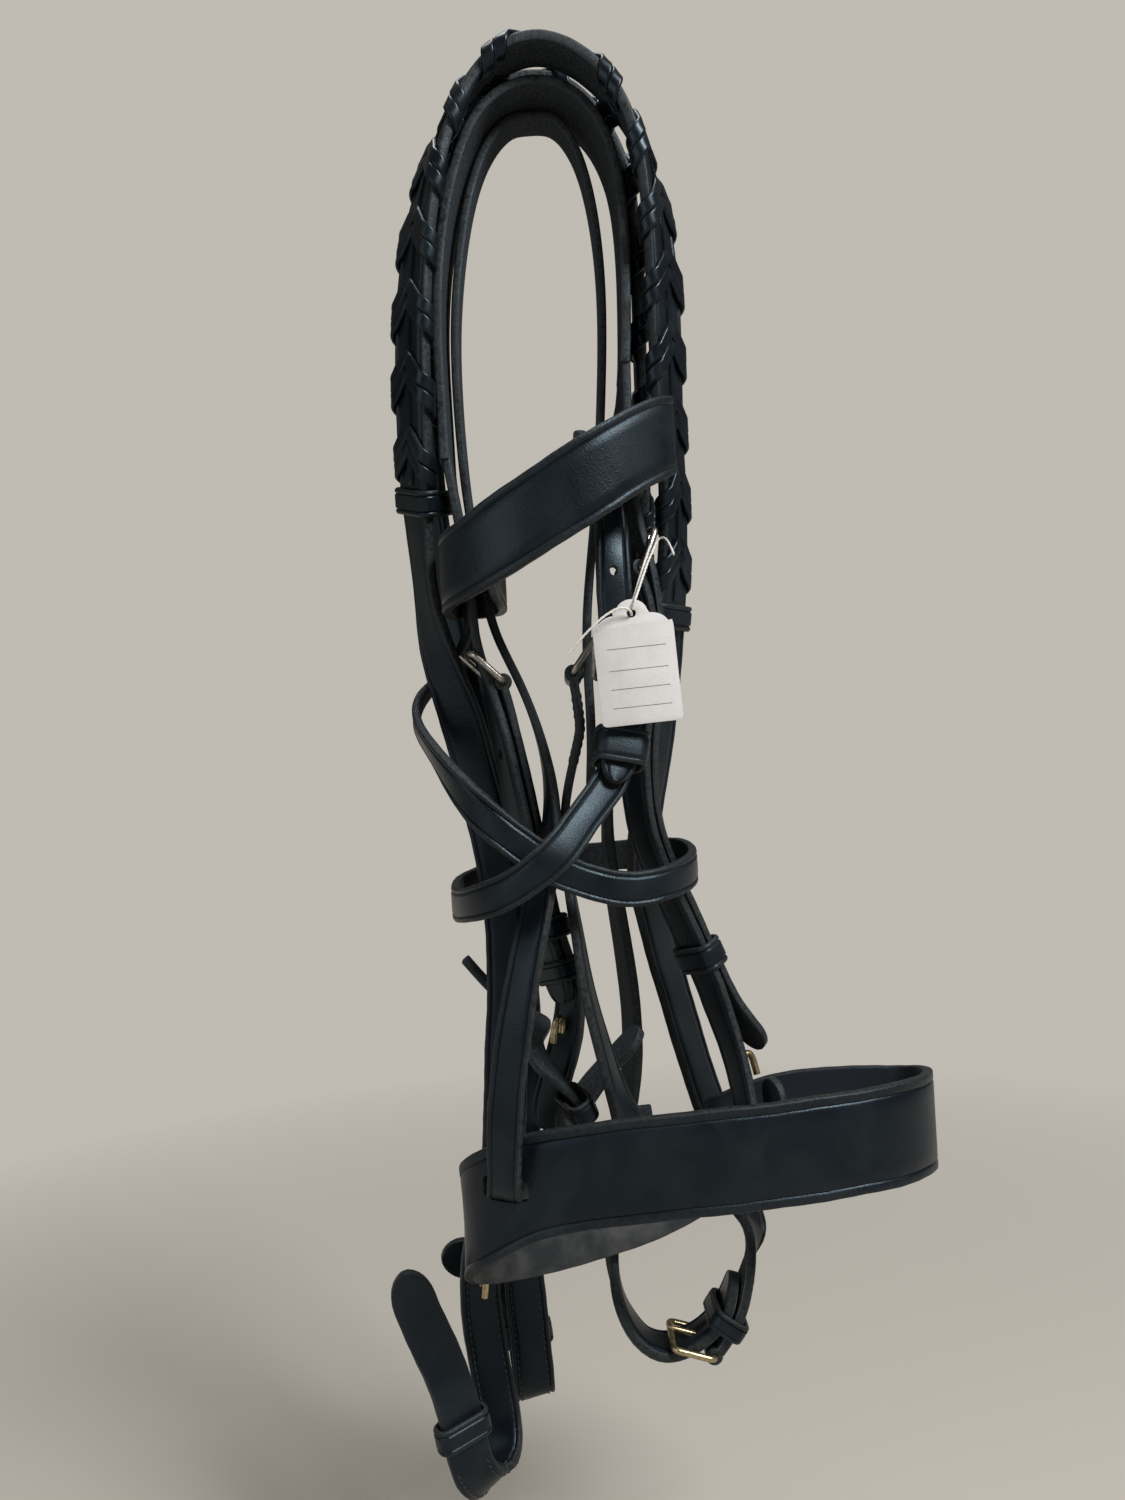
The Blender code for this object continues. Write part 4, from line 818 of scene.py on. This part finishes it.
# Where each buckle sits
nearBillet, offBillet = StrapRoute(nearBilletRoute), StrapRoute(offBilletRoute)
crown, throatBillet = StrapRoute(crownRoute), StrapRoute(throatBilletRoute)
browband, noseband = StrapRoute(browbandRoute), StrapRoute(nosebandRoute)
headstrap, offRein = StrapRoute(headstrapRoute), StrapRoute(offReinRoute)
chinStrap, chinPoint = StrapRoute(chinStrapRoute), StrapRoute(chinPointRoute)
thick, reinThick = strapSizes["strapThick"], strapSizes["reinThick"]
onHeadstrap = headstrap.near(start=headstrap.length - 80, x=9.5, z=-192)
seats = {
    name: Fastening(route, s, strapSizes[width], depth, side, flip, clear)
    for name, route, s, width, depth, side, flip, clear in (
        ("nearCheek", nearBillet, nearBillet.near(z=-194), "cheekWidth", thick, -1, -1, 0.7),
        ("offCheek", offBillet, offBillet.near(z=-157), "cheekWidth", thick, -1, 1, 0.7),
        ("headstrap", headstrap, onHeadstrap, "headstrapWidth", thick, -1, 1, 0.7),
        ("throat", throatBillet, throatBillet.near(z=-195), "throatWidth", thick, -1, 1, 0.7),
        ("noseband", chinStrap, chinStrap.near(x=33), "chinWidth", thick, 1, 1, 0.7),
        ("rein", offRein, offRein.near(end=60, x=33.5, z=-439), "reinWidth", reinThick, 1, -1, 1.7),
    )
}
nearCheek = StrapRoute(besideBillet(nearBillet, seats["nearCheek"], nearBillet.near(z=-309)) + nearCheekRoute)
offCheek = StrapRoute(besideBillet(offBillet, seats["offCheek"], offBillet.near(z=-311)) + offCheekRoute)
hanger = StrapRoute(besideBillet(headstrap, seats["headstrap"], headstrap.length - 18) + hangerRoute)
nearRein = StrapRoute(besideBillet(offRein, seats["rein"], 6.0) + nearReinRoute)
throatlatch = StrapRoute(
    throatlatchRoute + besideBillet(throatBillet, seats["throat"], throatBillet.length - 3)[::-1]
)
print("routes ready")

# Straps: grain is the side of the route that the smooth face looks to
throatCut, tip = 24.0, strapSizes["tipLength"]
nearLined, offLined = nearRein.near(start=500, x=-45, z=-428) - 20, offRein.near(start=500, x=-28, z=-400)
throatEnd = throatBillet.length - 2.0
made = {}
for name, route, width, depth, options in (
    ("crownHead", crown, "crownWidth", "crownThick", {}),
    ("nearBillet", nearBillet, "cheekWidth", "strapThick", {"tips": (0, tip), "grain": -1}),
    ("offBillet", offBillet, "cheekWidth", "strapThick", {"tips": (0, tip)}),
    ("throatBillet", throatBillet, "throatWidth", "strapThick", {"end": throatEnd, "tips": (0, tip)}),
    ("throatStart", throatlatch, "throatWidth", "strapThick", {"end": throatCut, "grain": -1}),
    ("throatlatch", throatlatch, "throatWidth", "strapThick", {"start": throatCut + 0.4, "grain": -1}),
    ("browband", browband, "browbandWidth", "bandThick", {"thin": (0.6, 0.6), "inset": 2.7}),
    ("noseband", noseband, "nosebandWidth", "bandThick", {"inset": 3.3, "flesh": 0.5}),
    ("headstrap", headstrap, "headstrapWidth", "strapThick", {"tips": (0, tip), "thin": (0.6, 1.0)}),
    ("hanger", hanger, "headstrapWidth", "strapThick", {"thin": (1.0, 0.6)}),
    ("chinStrap", chinStrap, "chinWidth", "strapThick", {"tips": (0, tip)}),
    ("nosebandPoint", chinPoint, "pointWidth", "strapThick", {"grain": -1}),
    ("nearCheekpiece", nearCheek, "cheekWidth", "strapThick", {"tips": (0, tip), "grain": -1}),
    ("offCheekpiece", offCheek, "cheekWidth", "strapThick", {"tips": (0, tip), "grain": -1}),
    ("nearRein", nearRein, "reinWidth", "reinThick", {"tips": (0, 12.0), "grain": -1, "lined": nearLined}),
    ("offRein", offRein, "reinWidth", "reinThick", {"tips": (10.0, 10.0), "grain": -1, "lined": offLined}),
):
    width, depth = strapSizes[width], strapSizes[depth]
    made[name] = settle(strap(name + "Strap", route, width, depth, blackLeather, **options))
print("straps made")

# Buckles: the strap that holds each turns round its rear bar, and the billet is punched
billets = {
    "nearBillet": nearBillet, "offBillet": offBillet, "throatBillet": throatBillet,
    "headstrap": headstrap, "chinStrap": chinStrap, "offRein": offRein,
}
punches = {name: [] for name in billets}
wire, tongueWire = buckleSizes["wire"], buckleSizes["tongue"]
for name, node, metal, slot, billet, holder, spacing in (
    ("nearCheek", "near_cheek_buckle", nickelMetal, "nickel", "nearBillet", "nearCheekpiece", 16.0),
    ("offCheek", "off_cheek_buckle", nickelMetal, "nickel", "offBillet", "offCheekpiece", 16.0),
    ("headstrap", "headstrap_buckle", nickelMetal, "nickel", "headstrap", "hanger", 14.0),
    ("throat", "throat_buckle", nickelMetal, "nickel", "throatBillet", "throatlatch", 14.0),
    ("rein", "rein_buckle", brassMetal, "brass", "offRein", "nearRein", 0.0),
    ("noseband", "noseband_buckle", nickelMetal, "nickel", "chinStrap", "noseband", 14.0),
):
    seat = seats[name]
    middle, wide = (seat.rearBar + seat.frontBar) / 2, seat.width + buckleSizes["sideGap"] + wire
    ring, _ = roundedRing(middle, seat.across, seat.ahead, wide, buckleSizes["length"], buckleSizes["corner"])
    onBody(tube(name + "BuckleFrame", ring, wire / 2, metal, seat.up, closed=True), "straps", slot, node)
    lie = wire / 2 + tongueWire / 2 + buckleSizes["tongueGap"]
    root = seat.rearBar + seat.up * lie
    rodTip = seat.frontBar + seat.ahead * buckleSizes["tongueReach"] + seat.up * lie
    radii = tongueWire / 2 * np.array(buckleSizes["tongueTaper"])
    rod = [root + (rodTip - root) * t for t in np.linspace(0, 1, len(radii))]
    onBody(tube(name + "Tongue", rod, radii, metal, seat.across), node + "_tongue", slot, node + "_tongue")
    slotMiddle = seat.rearBar + seat.ahead * buckleSizes["slotAhead"] + seat.up * buckleSizes["slotUp"]
    slotGap = block(slotMiddle, seat.ahead, seat.across, seat.up, buckleSizes["tongueSlot"])
    made[holder] = carve(carve(made[holder], [barTurn(seat)], "UNION"), [slotGap])
    middle = seat.point - seat.along * buckleSizes["holeBack"]
    tongueHole = ovalPunch(middle, seat.along, seat.across, seat.out, buckleSizes["tongueHole"], power=6)
    punches[billet].append(tongueHole)
    punchAt = seat.barPlace - seat.sign * buckleSizes["punchBack"]
    punchAt = punchAt + seat.sign * spacing * np.array([-2, -1, 1, 2])
    lastPunch = billets[billet].length - buckleSizes["punchLast"]
    for s in punchAt if spacing else ():
        if buckleSizes["punchFirst"] < s < lastPunch and abs(s - seat.barPlace) > buckleSizes["punchClear"]:
            punches[billet].append(ovalPunch(*billets[billet].frames(s), buckleSizes["billetHole"]))
for billet, cutters in punches.items():
    made[billet] = carve(made[billet], cutters)
print("buckles made")

# Slots in the noseband for the straps that carry it
slotSize = (17.5, 8.4)
for s, z in ((noseband.near(x=-28.3, y=-33.5, z=-369), -368.5), (noseband.near(end=60, x=19.5), -382.5)):
    place, along, across, _ = noseband.frames(s)
    centre = np.array([place[0], place[1] + across[1] / across[2] * (z - place[2]), z])
    level, upright = unit(np.array([along[0], along[1], 0.0])), np.array([0.0, 0.0, 1.0])
    slotCutter = ovalPunch(centre, level, upright, np.cross(level, upright), slotSize, depth=8.0, power=4)
    made["noseband"] = carve(made["noseband"], [slotCutter])

crownParts = ("crownHead", "nearBillet", "offBillet", "throatBillet", "throatStart")
crownpiece = joinAll("crownpieceLeather", [made[part] for part in crownParts])
onBody(settle(crownpiece), "straps", "black_leather", "crownpiece")
for key, node in (
    ("throatlatch", "throatlatch"), ("browband", "browband"), ("noseband", "noseband"),
    ("headstrap", "headstrap"), ("hanger", "noseband_hanger"), ("chinStrap", "chin_strap"),
    ("nosebandPoint", "noseband_point"), ("nearCheekpiece", "near_cheekpiece"),
    ("offCheekpiece", "off_cheekpiece"), ("nearRein", "near_rein"), ("offRein", "off_rein"),
):
    onBody(settle(made[key]), "straps", "black_leather", node)

# Keepers: the straps that each holds lie lift from the middle of its route
pair, deep = (thick + strapSizes["layerGap"]) / 2, 2 * thick + strapSizes["layerGap"]
reinPair, reinDeep = (reinThick + strapSizes["layerGap"]) / 2, 2 * reinThick + strapSizes["layerGap"]
nearTail, offTail = {"start": nearRein.length - 70, "z": -467}, {"start": offRein.length - 70, "z": -461}
for name, node, route, where, width, depth, length, lift in (
    ("nearCheekKeeperUpper", "near_cheek_keeper_upper", nearBillet, {"z": -286}, 12.5, deep, 7.5, pair),
    ("nearCheekKeeperLower", "near_cheek_keeper_lower", nearBillet, {"z": -301}, 12.5, deep, 7.5, pair),
    ("offCheekKeeper", "off_cheek_keeper", offBillet, {"z": -301}, 12.5, deep, 10.0, -pair),
    ("throatKeeper", "throat_keeper", throatBillet, {"z": -224}, 13.1, deep + 1.2, 12.0, -pair),
    ("chinRunner", "chin_runner", chinPoint, {"z": -346}, 10.4, thick + 1.8, 9.0, 0),
    ("reinKeeper", "rein_keeper", offRein, {"end": 40, "z": -429}, 16.0, reinDeep + 0.4, 7.0, reinPair),
    ("nearReinKeeper", "near_rein_keeper", nearRein, nearTail, 16.0, reinThick + 0.8, 9.0, 0),
    ("offReinKeeper", "off_rein_keeper", offRein, offTail, 16.0, reinThick, 9.0, 0),
    ("nosebandKeeper", "noseband_keeper", chinStrap, {"x": -2}, 12.0, thick, 7.0, 0),
):
    loop = keeper(name + "Leather", route, route.near(**where), width, depth, length, lift)
    onBody(loop, node, "black_leather", node)
print("keepers made")

# Hook studs: a foot along the strap, a bend and a point back over it
hookSizes = {
    "lift": 1.9, "rise": 4.2, "bow": 0.8, "bend": 1.2, "radius": 1.3, "foot": 4.5, "point": 7.0,
}
nearCheekEnd, offCheekEnd = nearCheek.length - 70, offCheek.length - 40
nearFold, offFold = nearRein.length - 190, offRein.length - 150
for name, node, route, where, outward, depth in (
    ("nearCheekStud", "near_cheek_stud", nearCheek, {"end": nearCheekEnd, "z": -318}, -1, thick),
    ("offCheekStud", "off_cheek_stud", offCheek, {"end": offCheekEnd, "z": -340}, 1, thick),
    ("nearReinStud", "near_rein_stud", nearRein, {"start": nearFold, "x": -45, "z": -424}, -1, reinThick),
    ("offReinStud", "off_rein_stud", offRein, {"start": offFold, "x": -28, "z": -424}, 1, reinThick),
):
    point, along, across, out = route.frames(route.near(**where))
    out = out * outward
    base, bow = point + out * (depth / 2 + hookSizes["lift"]), along * hookSizes["bow"]
    rise, bend = hookSizes["rise"], hookSizes["bend"]
    rows = [base + along * hookSizes["foot"], base + along, base - bow + out * bend]
    rows += [base - bow + out * (rise - bend), base + along + out * rise]
    rows.append(base + along * hookSizes["point"] + out * rise)
    hook = tube(name + "Hook", splineSamples(rows, 5), hookSizes["radius"], brassMetal, across)
    onBody(hook, "straps", "brass", node)
print("studs made")

# Lacing: thongs cross the face in chevrons and turn under the rein's edges
laceSizes = {
    "lead": 24.5, "tail": 19.0, "pitch": 24.1, "slope": 1.15, "turnSlope": 0.75, "width": 4.6, "thick": 1.8,
    "spine": 2.6, "spineThick": 0.9, "spineFrom": 6.0, "spineLift": 0.3, "second": 5.6, "clear": 0.1,
    "root": 1.2, "rootRun": 2.6, "tuck": 1.0, "back": 3.0, "stop": 9.0,
}


def laceArm(route, apex, side, lift):
    # one thong: out of the rein's middle, down its face, round its edge and under its back
    downward = -1.0 if route.frames(apex)[1][2] > 0 else 1.0
    bend = reinThick / 2 + laceSizes["thick"] / 2 + laceSizes["clear"]
    flat = strapSizes["reinWidth"] / 2 - reinThick / 2 + laceSizes["clear"]
    slope, turnSlope, tuck, root = (laceSizes[key] for key in ("slope", "turnSlope", "tuck", "root"))
    rows = []
    for x in np.linspace(-root, flat, 9):
        sink = tuck * max(0.0, 1 - (x + root) / laceSizes["rootRun"]) - lift * (1 - x / flat)
        rows.append((x, bend - sink, 0.0, x * slope, min(1.0, 0.6 + (x + root) / 6)))
    for angle in np.linspace(0, math.pi, 8)[1:]:
        run = flat * slope + angle * bend * turnSlope
        rows.append((flat + bend * math.sin(angle), bend * math.cos(angle), angle, run, 1.0))
    for x in np.linspace(0.25, 1, 4) * laceSizes["back"]:
        rows.append((flat - x, -bend + tuck * x / 5.0, math.pi, run + x * turnSlope, 1 - x / 12))
    points, outs = [], []
    for x, height, angle, run, _ in rows:
        point, _, across, out = route.frames(apex + downward * run)
        points.append(point + across * side * x - out * height)
        outs.append(across * side * math.sin(angle) - out * math.cos(angle))
    girth = np.array([row[4] for row in rows])[:, None]
    smooth = splineSamples(np.hstack([points, outs, girth]), 2)
    return smooth[:, :3], unit(smooth[:, 3:6]), smooth[:, 6]


for name, node, route, first, final in (
    ("near", "near_lacing", nearRein, {"end": 400, "x": 39, "z": -178}, {"start": 400, "x": -48, "z": -134}),
    ("off", "off_lacing", offRein, {"end": 450, "x": 33, "z": -157}, {"start": 450, "x": -46, "z": -128}),
):
    first, final, lines = route.near(**first), route.near(**final), []
    for apex in np.arange(first + laceSizes["lead"], final - laceSizes["tail"], laceSizes["pitch"]):
        for side, lift in ((-1, 0.1), (1, 0.3)):
            for step in (-0.5, 0.5):
                lines.append(laceArm(route, apex + step * laceSizes["second"], side, lift))
    values = {"Width": laceSizes["width"] * mm, "Thickness": laceSizes["thick"] * mm}
    arms = growAlong(name + "LaceArms", thongs, lines, values, laceLeather)
    spine = strap(
        name + "LaceSpine", route, laceSizes["spine"], laceSizes["spineThick"], laceLeather,
        start=first + laceSizes["spineFrom"], end=final - laceSizes["spineFrom"],
        lift=-(reinThick / 2 + laceSizes["spineLift"]), grain=-1, crease=False,
    )
    onBody(settle(joinAll(name + "Lacing", [spine, arms])), "straps", "black_lace", node)
    for end, s in (("lower", first), ("upper", final)):
        stop = f"{name}LaceStop{end.title()}"
        stop = keeper(stop, route, s, strapSizes["reinWidth"], reinThick, laceSizes["stop"])
        onBody(stop, "straps", "black_leather", f"{name}_lace_stop_{end}")
print("lacing made")

# Stitching: the reins' doubled ends, then where a strap is sewn round its buckle
seamSizes = {"reinInset": 2.4, "reinLift": 0.08, "buckleInset": 2.2, "buckleLift": 0.04, "buckleFrom": 6.0}
stitchLines = []
for route, start, end in (
    (nearRein, nearLined, nearRein.length - 76), (offRein, offLined, offRein.length - 12),
):
    edge, height = strapSizes["reinWidth"] / 2 - seamSizes["reinInset"], reinThick / 2 + seamSizes["reinLift"]
    for face in (-1, 1):
        for offset in (-edge, edge):
            stitchLines.append(routeLine(route, start, end, offset, face, height))
for route, run, width, depth in (
    (nearCheek, 24, strapSizes["cheekWidth"], thick), (offCheek, 24, strapSizes["cheekWidth"], thick),
    (hanger, 22, strapSizes["headstrapWidth"], thick), (nearRein, 20, strapSizes["reinWidth"], reinThick),
):
    edge, height = width / 2 - seamSizes["buckleInset"], depth / 2 + seamSizes["buckleLift"]
    start = seamSizes["buckleFrom"]
    for offset in (-edge, edge):
        for face in (-1, 1):
            stitchLines.append(routeLine(route, start, start + run, offset, face, height))
stitching = growAlong("strapStitching", stitches, stitchLines, stitchSizes, reinThread)
onBody(settle(stitching), "straps", "black_lace")
print("stitching made")

# Hang tag, its ruled lines and its string
tagSizes = {
    "left": 10.5, "right": 36.5, "low": -217.0, "high": -177.0, "depth": -47.0, "thick": 0.6, "bevel": 0.08,
    "hole": 1.55, "holeDown": 4.4, "crown": (5.2, 4.6), "shoulder": 7.2, "stepIn": 7.6, "stepDown": 2.2,
    "step": (6.4, 4.6), "corner": 1.6, "tilt": 3.0,
    "rules": (-192.5, -199.5, -205.5, -211.5), "ruleFrom": 4.0, "ruleTo": 3.0, "ruleHigh": 0.22,
    "ruleThick": 0.06,
}
tagHalf, tagMiddle = (tagSizes["right"] - tagSizes["left"]) / 2, (tagSizes["left"] + tagSizes["right"]) / 2
holeHeight = tagSizes["high"] - tagSizes["holeDown"]


def tagOutline():
    # the right side from the crown of the tag down to its corner, then the same on the left
    top, low, corner = tagSizes["high"], tagSizes["low"], tagSizes["corner"]
    shoulder = top - tagSizes["shoulder"]
    (wide, high), (stepWide, stepHigh) = tagSizes["crown"], tagSizes["step"]
    inside, below = tagHalf - tagSizes["stepIn"], shoulder - tagSizes["stepDown"]
    right = [(wide * math.sin(a), top - high + high * math.cos(a)) for a in np.linspace(0, 1.35, 8)]
    for a in np.linspace(0.05, 1.25, 7):
        right.append((inside + stepWide * math.sin(a), below + stepHigh * math.cos(a)))
    right += [(tagHalf - 0.3, shoulder - 0.6), (tagHalf, shoulder - 2.0)]
    for a in np.linspace(0, math.pi / 2, 5):
        right.append((tagHalf - corner + corner * math.cos(a), low + corner - corner * math.sin(a)))
    return right + flipped(right[::-1])


def flatShape(name, loops, thickness, material, bevel=0.0):
    # a flat closed shape, loops given as (x, z), turned to face the front
    curve = bpy.data.curves.new(name, "CURVE")
    curve.dimensions, curve.fill_mode = "2D", "BOTH"
    curve.extrude, curve.bevel_depth, curve.bevel_resolution = (thickness / 2 - bevel) * mm, bevel * mm, 1
    for loop in loops:
        spline = curve.splines.new("POLY")
        spline.points.add(len(loop) - 1)
        for point, (x, z) in zip(spline.points, loop):
            point.co = (x * mm, z * mm, 0, 1)
        spline.use_cyclic_u = True
    carrier = linked(name + "Curve", curve)
    bpy.context.view_layer.update()
    graph = bpy.context.evaluated_depsgraph_get()
    mesh = bpy.data.meshes.new_from_object(carrier.evaluated_get(graph), depsgraph=graph)
    bpy.data.objects.remove(carrier, do_unlink=True)
    mesh.name = name
    mesh.transform(Matrix.Rotation(math.pi / 2, 4, "X"))
    mesh.materials.clear()
    mesh.materials.append(material)
    obj = linked(name, mesh)
    work = bmesh.new()
    work.from_mesh(mesh)
    bmesh.ops.remove_doubles(work, verts=work.verts, dist=1e-6)
    work.to_mesh(mesh)
    work.free()
    return settle(obj, 30)


def placeTag(obj, forward=0.0):
    # tilted about its hole, in its own plane
    pivot = Vector((tagMiddle * mm, tagSizes["depth"] * mm, holeHeight * mm))
    lean = Matrix.Rotation(math.radians(-tagSizes["tilt"]), 4, "Y")
    lean = Matrix.Translation(pivot) @ lean @ Matrix.Translation(-pivot)
    obj.data.transform(lean @ Matrix.Translation((tagMiddle * mm, (tagSizes["depth"] - forward) * mm, 0)))
    return obj


hole = [
    (tagSizes["hole"] * math.cos(a), holeHeight + tagSizes["hole"] * math.sin(a))
    for a in np.linspace(0, 2 * math.pi, 24, endpoint=False)
]
tag = flatShape("hangTag", [tagOutline(), hole], tagSizes["thick"], tagCard, tagSizes["bevel"])
onBody(placeTag(tag), "tag", "card", "tag")
rules = []
x0, x1 = -tagHalf + tagSizes["ruleFrom"], tagHalf - tagSizes["ruleTo"]
for low in tagSizes["rules"]:
    high = low + tagSizes["ruleHigh"]
    rules.append([(x0, low), (x1, low), (x1, high), (x0, high)])
tagRules = flatShape("tagRules", rules, tagSizes["ruleThick"], ruleInk)
onBody(placeTag(tagRules, tagSizes["thick"] / 2 + 0.02), "tag", "card")

stringSizes = {
    "radius": 0.42, "plies": 3, "core": 0.82, "lobe": 0.18, "turns": 1.1, "step": 0.45, "sides": 12,
}
stringRuns = {
    "tagStringLong": [
        (33.2, -27.6, -155.6), (31.4, -31, -159.2), (28.2, -38, -167.2), (25.2, -43.6, -175),
        (23.8, -45, -179.2), (23.6, -45.9, -181.6), (23.5, -47.6, -182.0), (23.1, -49, -180.9),
        (20.4, -49.9, -179.9), (15.4, -50.4, -181.8), (9, -50.6, -187), (3, -49.6, -193),
    ],
    "tagStringShort": [
        (24.0, -47.9, -180.4), (24.7, -48.4, -177.8), (26.2, -46, -174.4), (29.4, -38.8, -166.4),
        (32.3, -33.2, -160.4), (34.0, -30.2, -157.0), (35.3, -28.9, -155.0), (36.8, -29.6, -154.5),
        (37.8, -32.6, -156.0), (38.3, -38.2, -159.2), (38.6, -44, -163),
    ],
}


def twistedString(name, rows, material):
    # a three-ply string: lobes that wind along the path
    sides, step = stringSizes["sides"], stringSizes["step"]
    path = splineSamples(rows, 8)
    run = runLengths(path)
    path = np.stack([np.interp(np.arange(0, run[-1], step), run, path[:, k]) for k in range(3)], 1)
    rings = tubeRings(path, 1.0, sides, False, np.array((0.13, 0.21, 0.97)))
    angle = 2 * math.pi * (np.arange(sides) + 0.5) / sides
    wind = angle[None] + np.arange(len(path))[:, None] * step * stringSizes["turns"]
    lobes = stringSizes["core"] + stringSizes["lobe"] * np.cos(stringSizes["plies"] * wind)
    lobes *= stringSizes["radius"]
    rings = path[:, None] + (rings - path[:, None]) * lobes[..., None]
    return settle(newPiece(name, rings.reshape(-1, 3), ringFaces(len(path), sides), material)), path


for name, rows in stringRuns.items():
    strand, path = twistedString(name, rows, cottonString)
    onBody(strand, "straps", "thread", *(["tag_string"] if name == "tagStringLong" else []))
    length = float(np.linalg.norm(np.diff(path, axis=0), axis=1).sum()) * mm
print("tag made")

# Camera at the photograph's angle, turned a little about its own axis
cameraLook = {
    "place": (-0.001, -0.400, -0.224), "right": (0.9984, 0.0, -0.0566), "up": (0.0566, 0.0, 0.9984),
    "lens": 26.4,
}
cameraData = bpy.data.cameras.new("camera")
cameraData.sensor_fit, cameraData.sensor_height, cameraData.clip_start = "VERTICAL", 36.0, 0.01
cameraData.lens = cameraLook["lens"]
camera = linked("camera", cameraData)
axes = Vector(cameraLook["right"]), Vector(cameraLook["up"]), Vector((0.0, -1.0, 0.0))
camera.matrix_world = Matrix.Translation(cameraLook["place"]) @ Matrix(axes).transposed().to_4x4()
scene.camera = camera

# Floor, light and background: far from the bridle the floor takes the room's colour
stageLook = {
    "floor": (0.50, 0.47, 0.42, 1), "room": (0.53, 0.50, 0.45, 1), "floorHeight": -0.57, "floorReach": 12.0,
    "fadeFrom": 600.0, "fadeTo": 990.0, "worldStrength": 0.23,
}
lamps = {
    "keyLight": {"place": (0.75, -0.75, 0.7), "size": 0.4, "power": 22.0},
    "fillLight": {"place": (-0.9, -0.9, 0.1), "size": 0.8, "power": 3.2},
    "topLight": {"place": (-0.1, 0.1, 0.95), "size": 0.5, "power": 6.5},
}


def paleFloor():
    # it fades with the distance in mm from the poll, for the eye and for gloss alone
    material, tree, shader, place = newMaterial("paleFloor", 0.9)
    shader.inputs["Base Color"].default_value = stageLook["floor"]
    shader.inputs["Specular IOR Level"].default_value = 0.1
    away = add(tree, "ShaderNodeVectorMath", {0: place}, operation="LENGTH").outputs["Value"]
    fade = ranged(tree, away, stageLook["fadeFrom"], stageLook["fadeTo"])
    rays = add(tree, "ShaderNodeLightPath").outputs
    looked = calculate(tree, "MAXIMUM", rays["Is Camera Ray"], rays["Is Glossy Ray"])
    glow = add(tree, "ShaderNodeEmission", {"Color": stageLook["room"]}).outputs[0]
    factor = calculate(tree, "MULTIPLY", fade, looked)
    mixed = add(tree, "ShaderNodeMixShader", {0: factor, 1: shader.outputs[0], 2: glow}).outputs[0]
    tree.links.new(mixed, tree.nodes["Material Output"].inputs["Surface"])
    return material


floorMesh = bpy.data.meshes.new("floor")
reach, level = stageLook["floorReach"], stageLook["floorHeight"]
corners = [(-reach, -reach, level), (reach, -reach, level), (reach, reach, level), (-reach, reach, level)]
floorMesh.from_pydata(corners, [], [(0, 1, 2, 3)])
floorMesh.materials.append(paleFloor())
floor = linked("floor", floorMesh)
world = bpy.data.worlds.new("room")
scene.world = world
world.use_nodes = True
room = world.node_tree
backdrop = room.nodes["Background"]
backdrop.inputs["Color"].default_value = stageLook["room"]
seen = add(room, "ShaderNodeLightPath").outputs["Is Camera Ray"]
room.links.new(ranged(room, seen, 0.0, 1.0, stageLook["worldStrength"], 1.0), backdrop.inputs["Strength"])
for name, look in lamps.items():
    lightData = bpy.data.lights.new(name, "AREA")
    lightData.size, lightData.energy = look["size"], look["power"]
    light = linked(name, lightData)
    light.location = look["place"]
    light.rotation_euler = (Vector((0, 0, -0.2)) - light.location).to_track_quat("-Z", "Y").to_euler()
scene.view_settings.view_transform = "Standard"
print("stage ready")
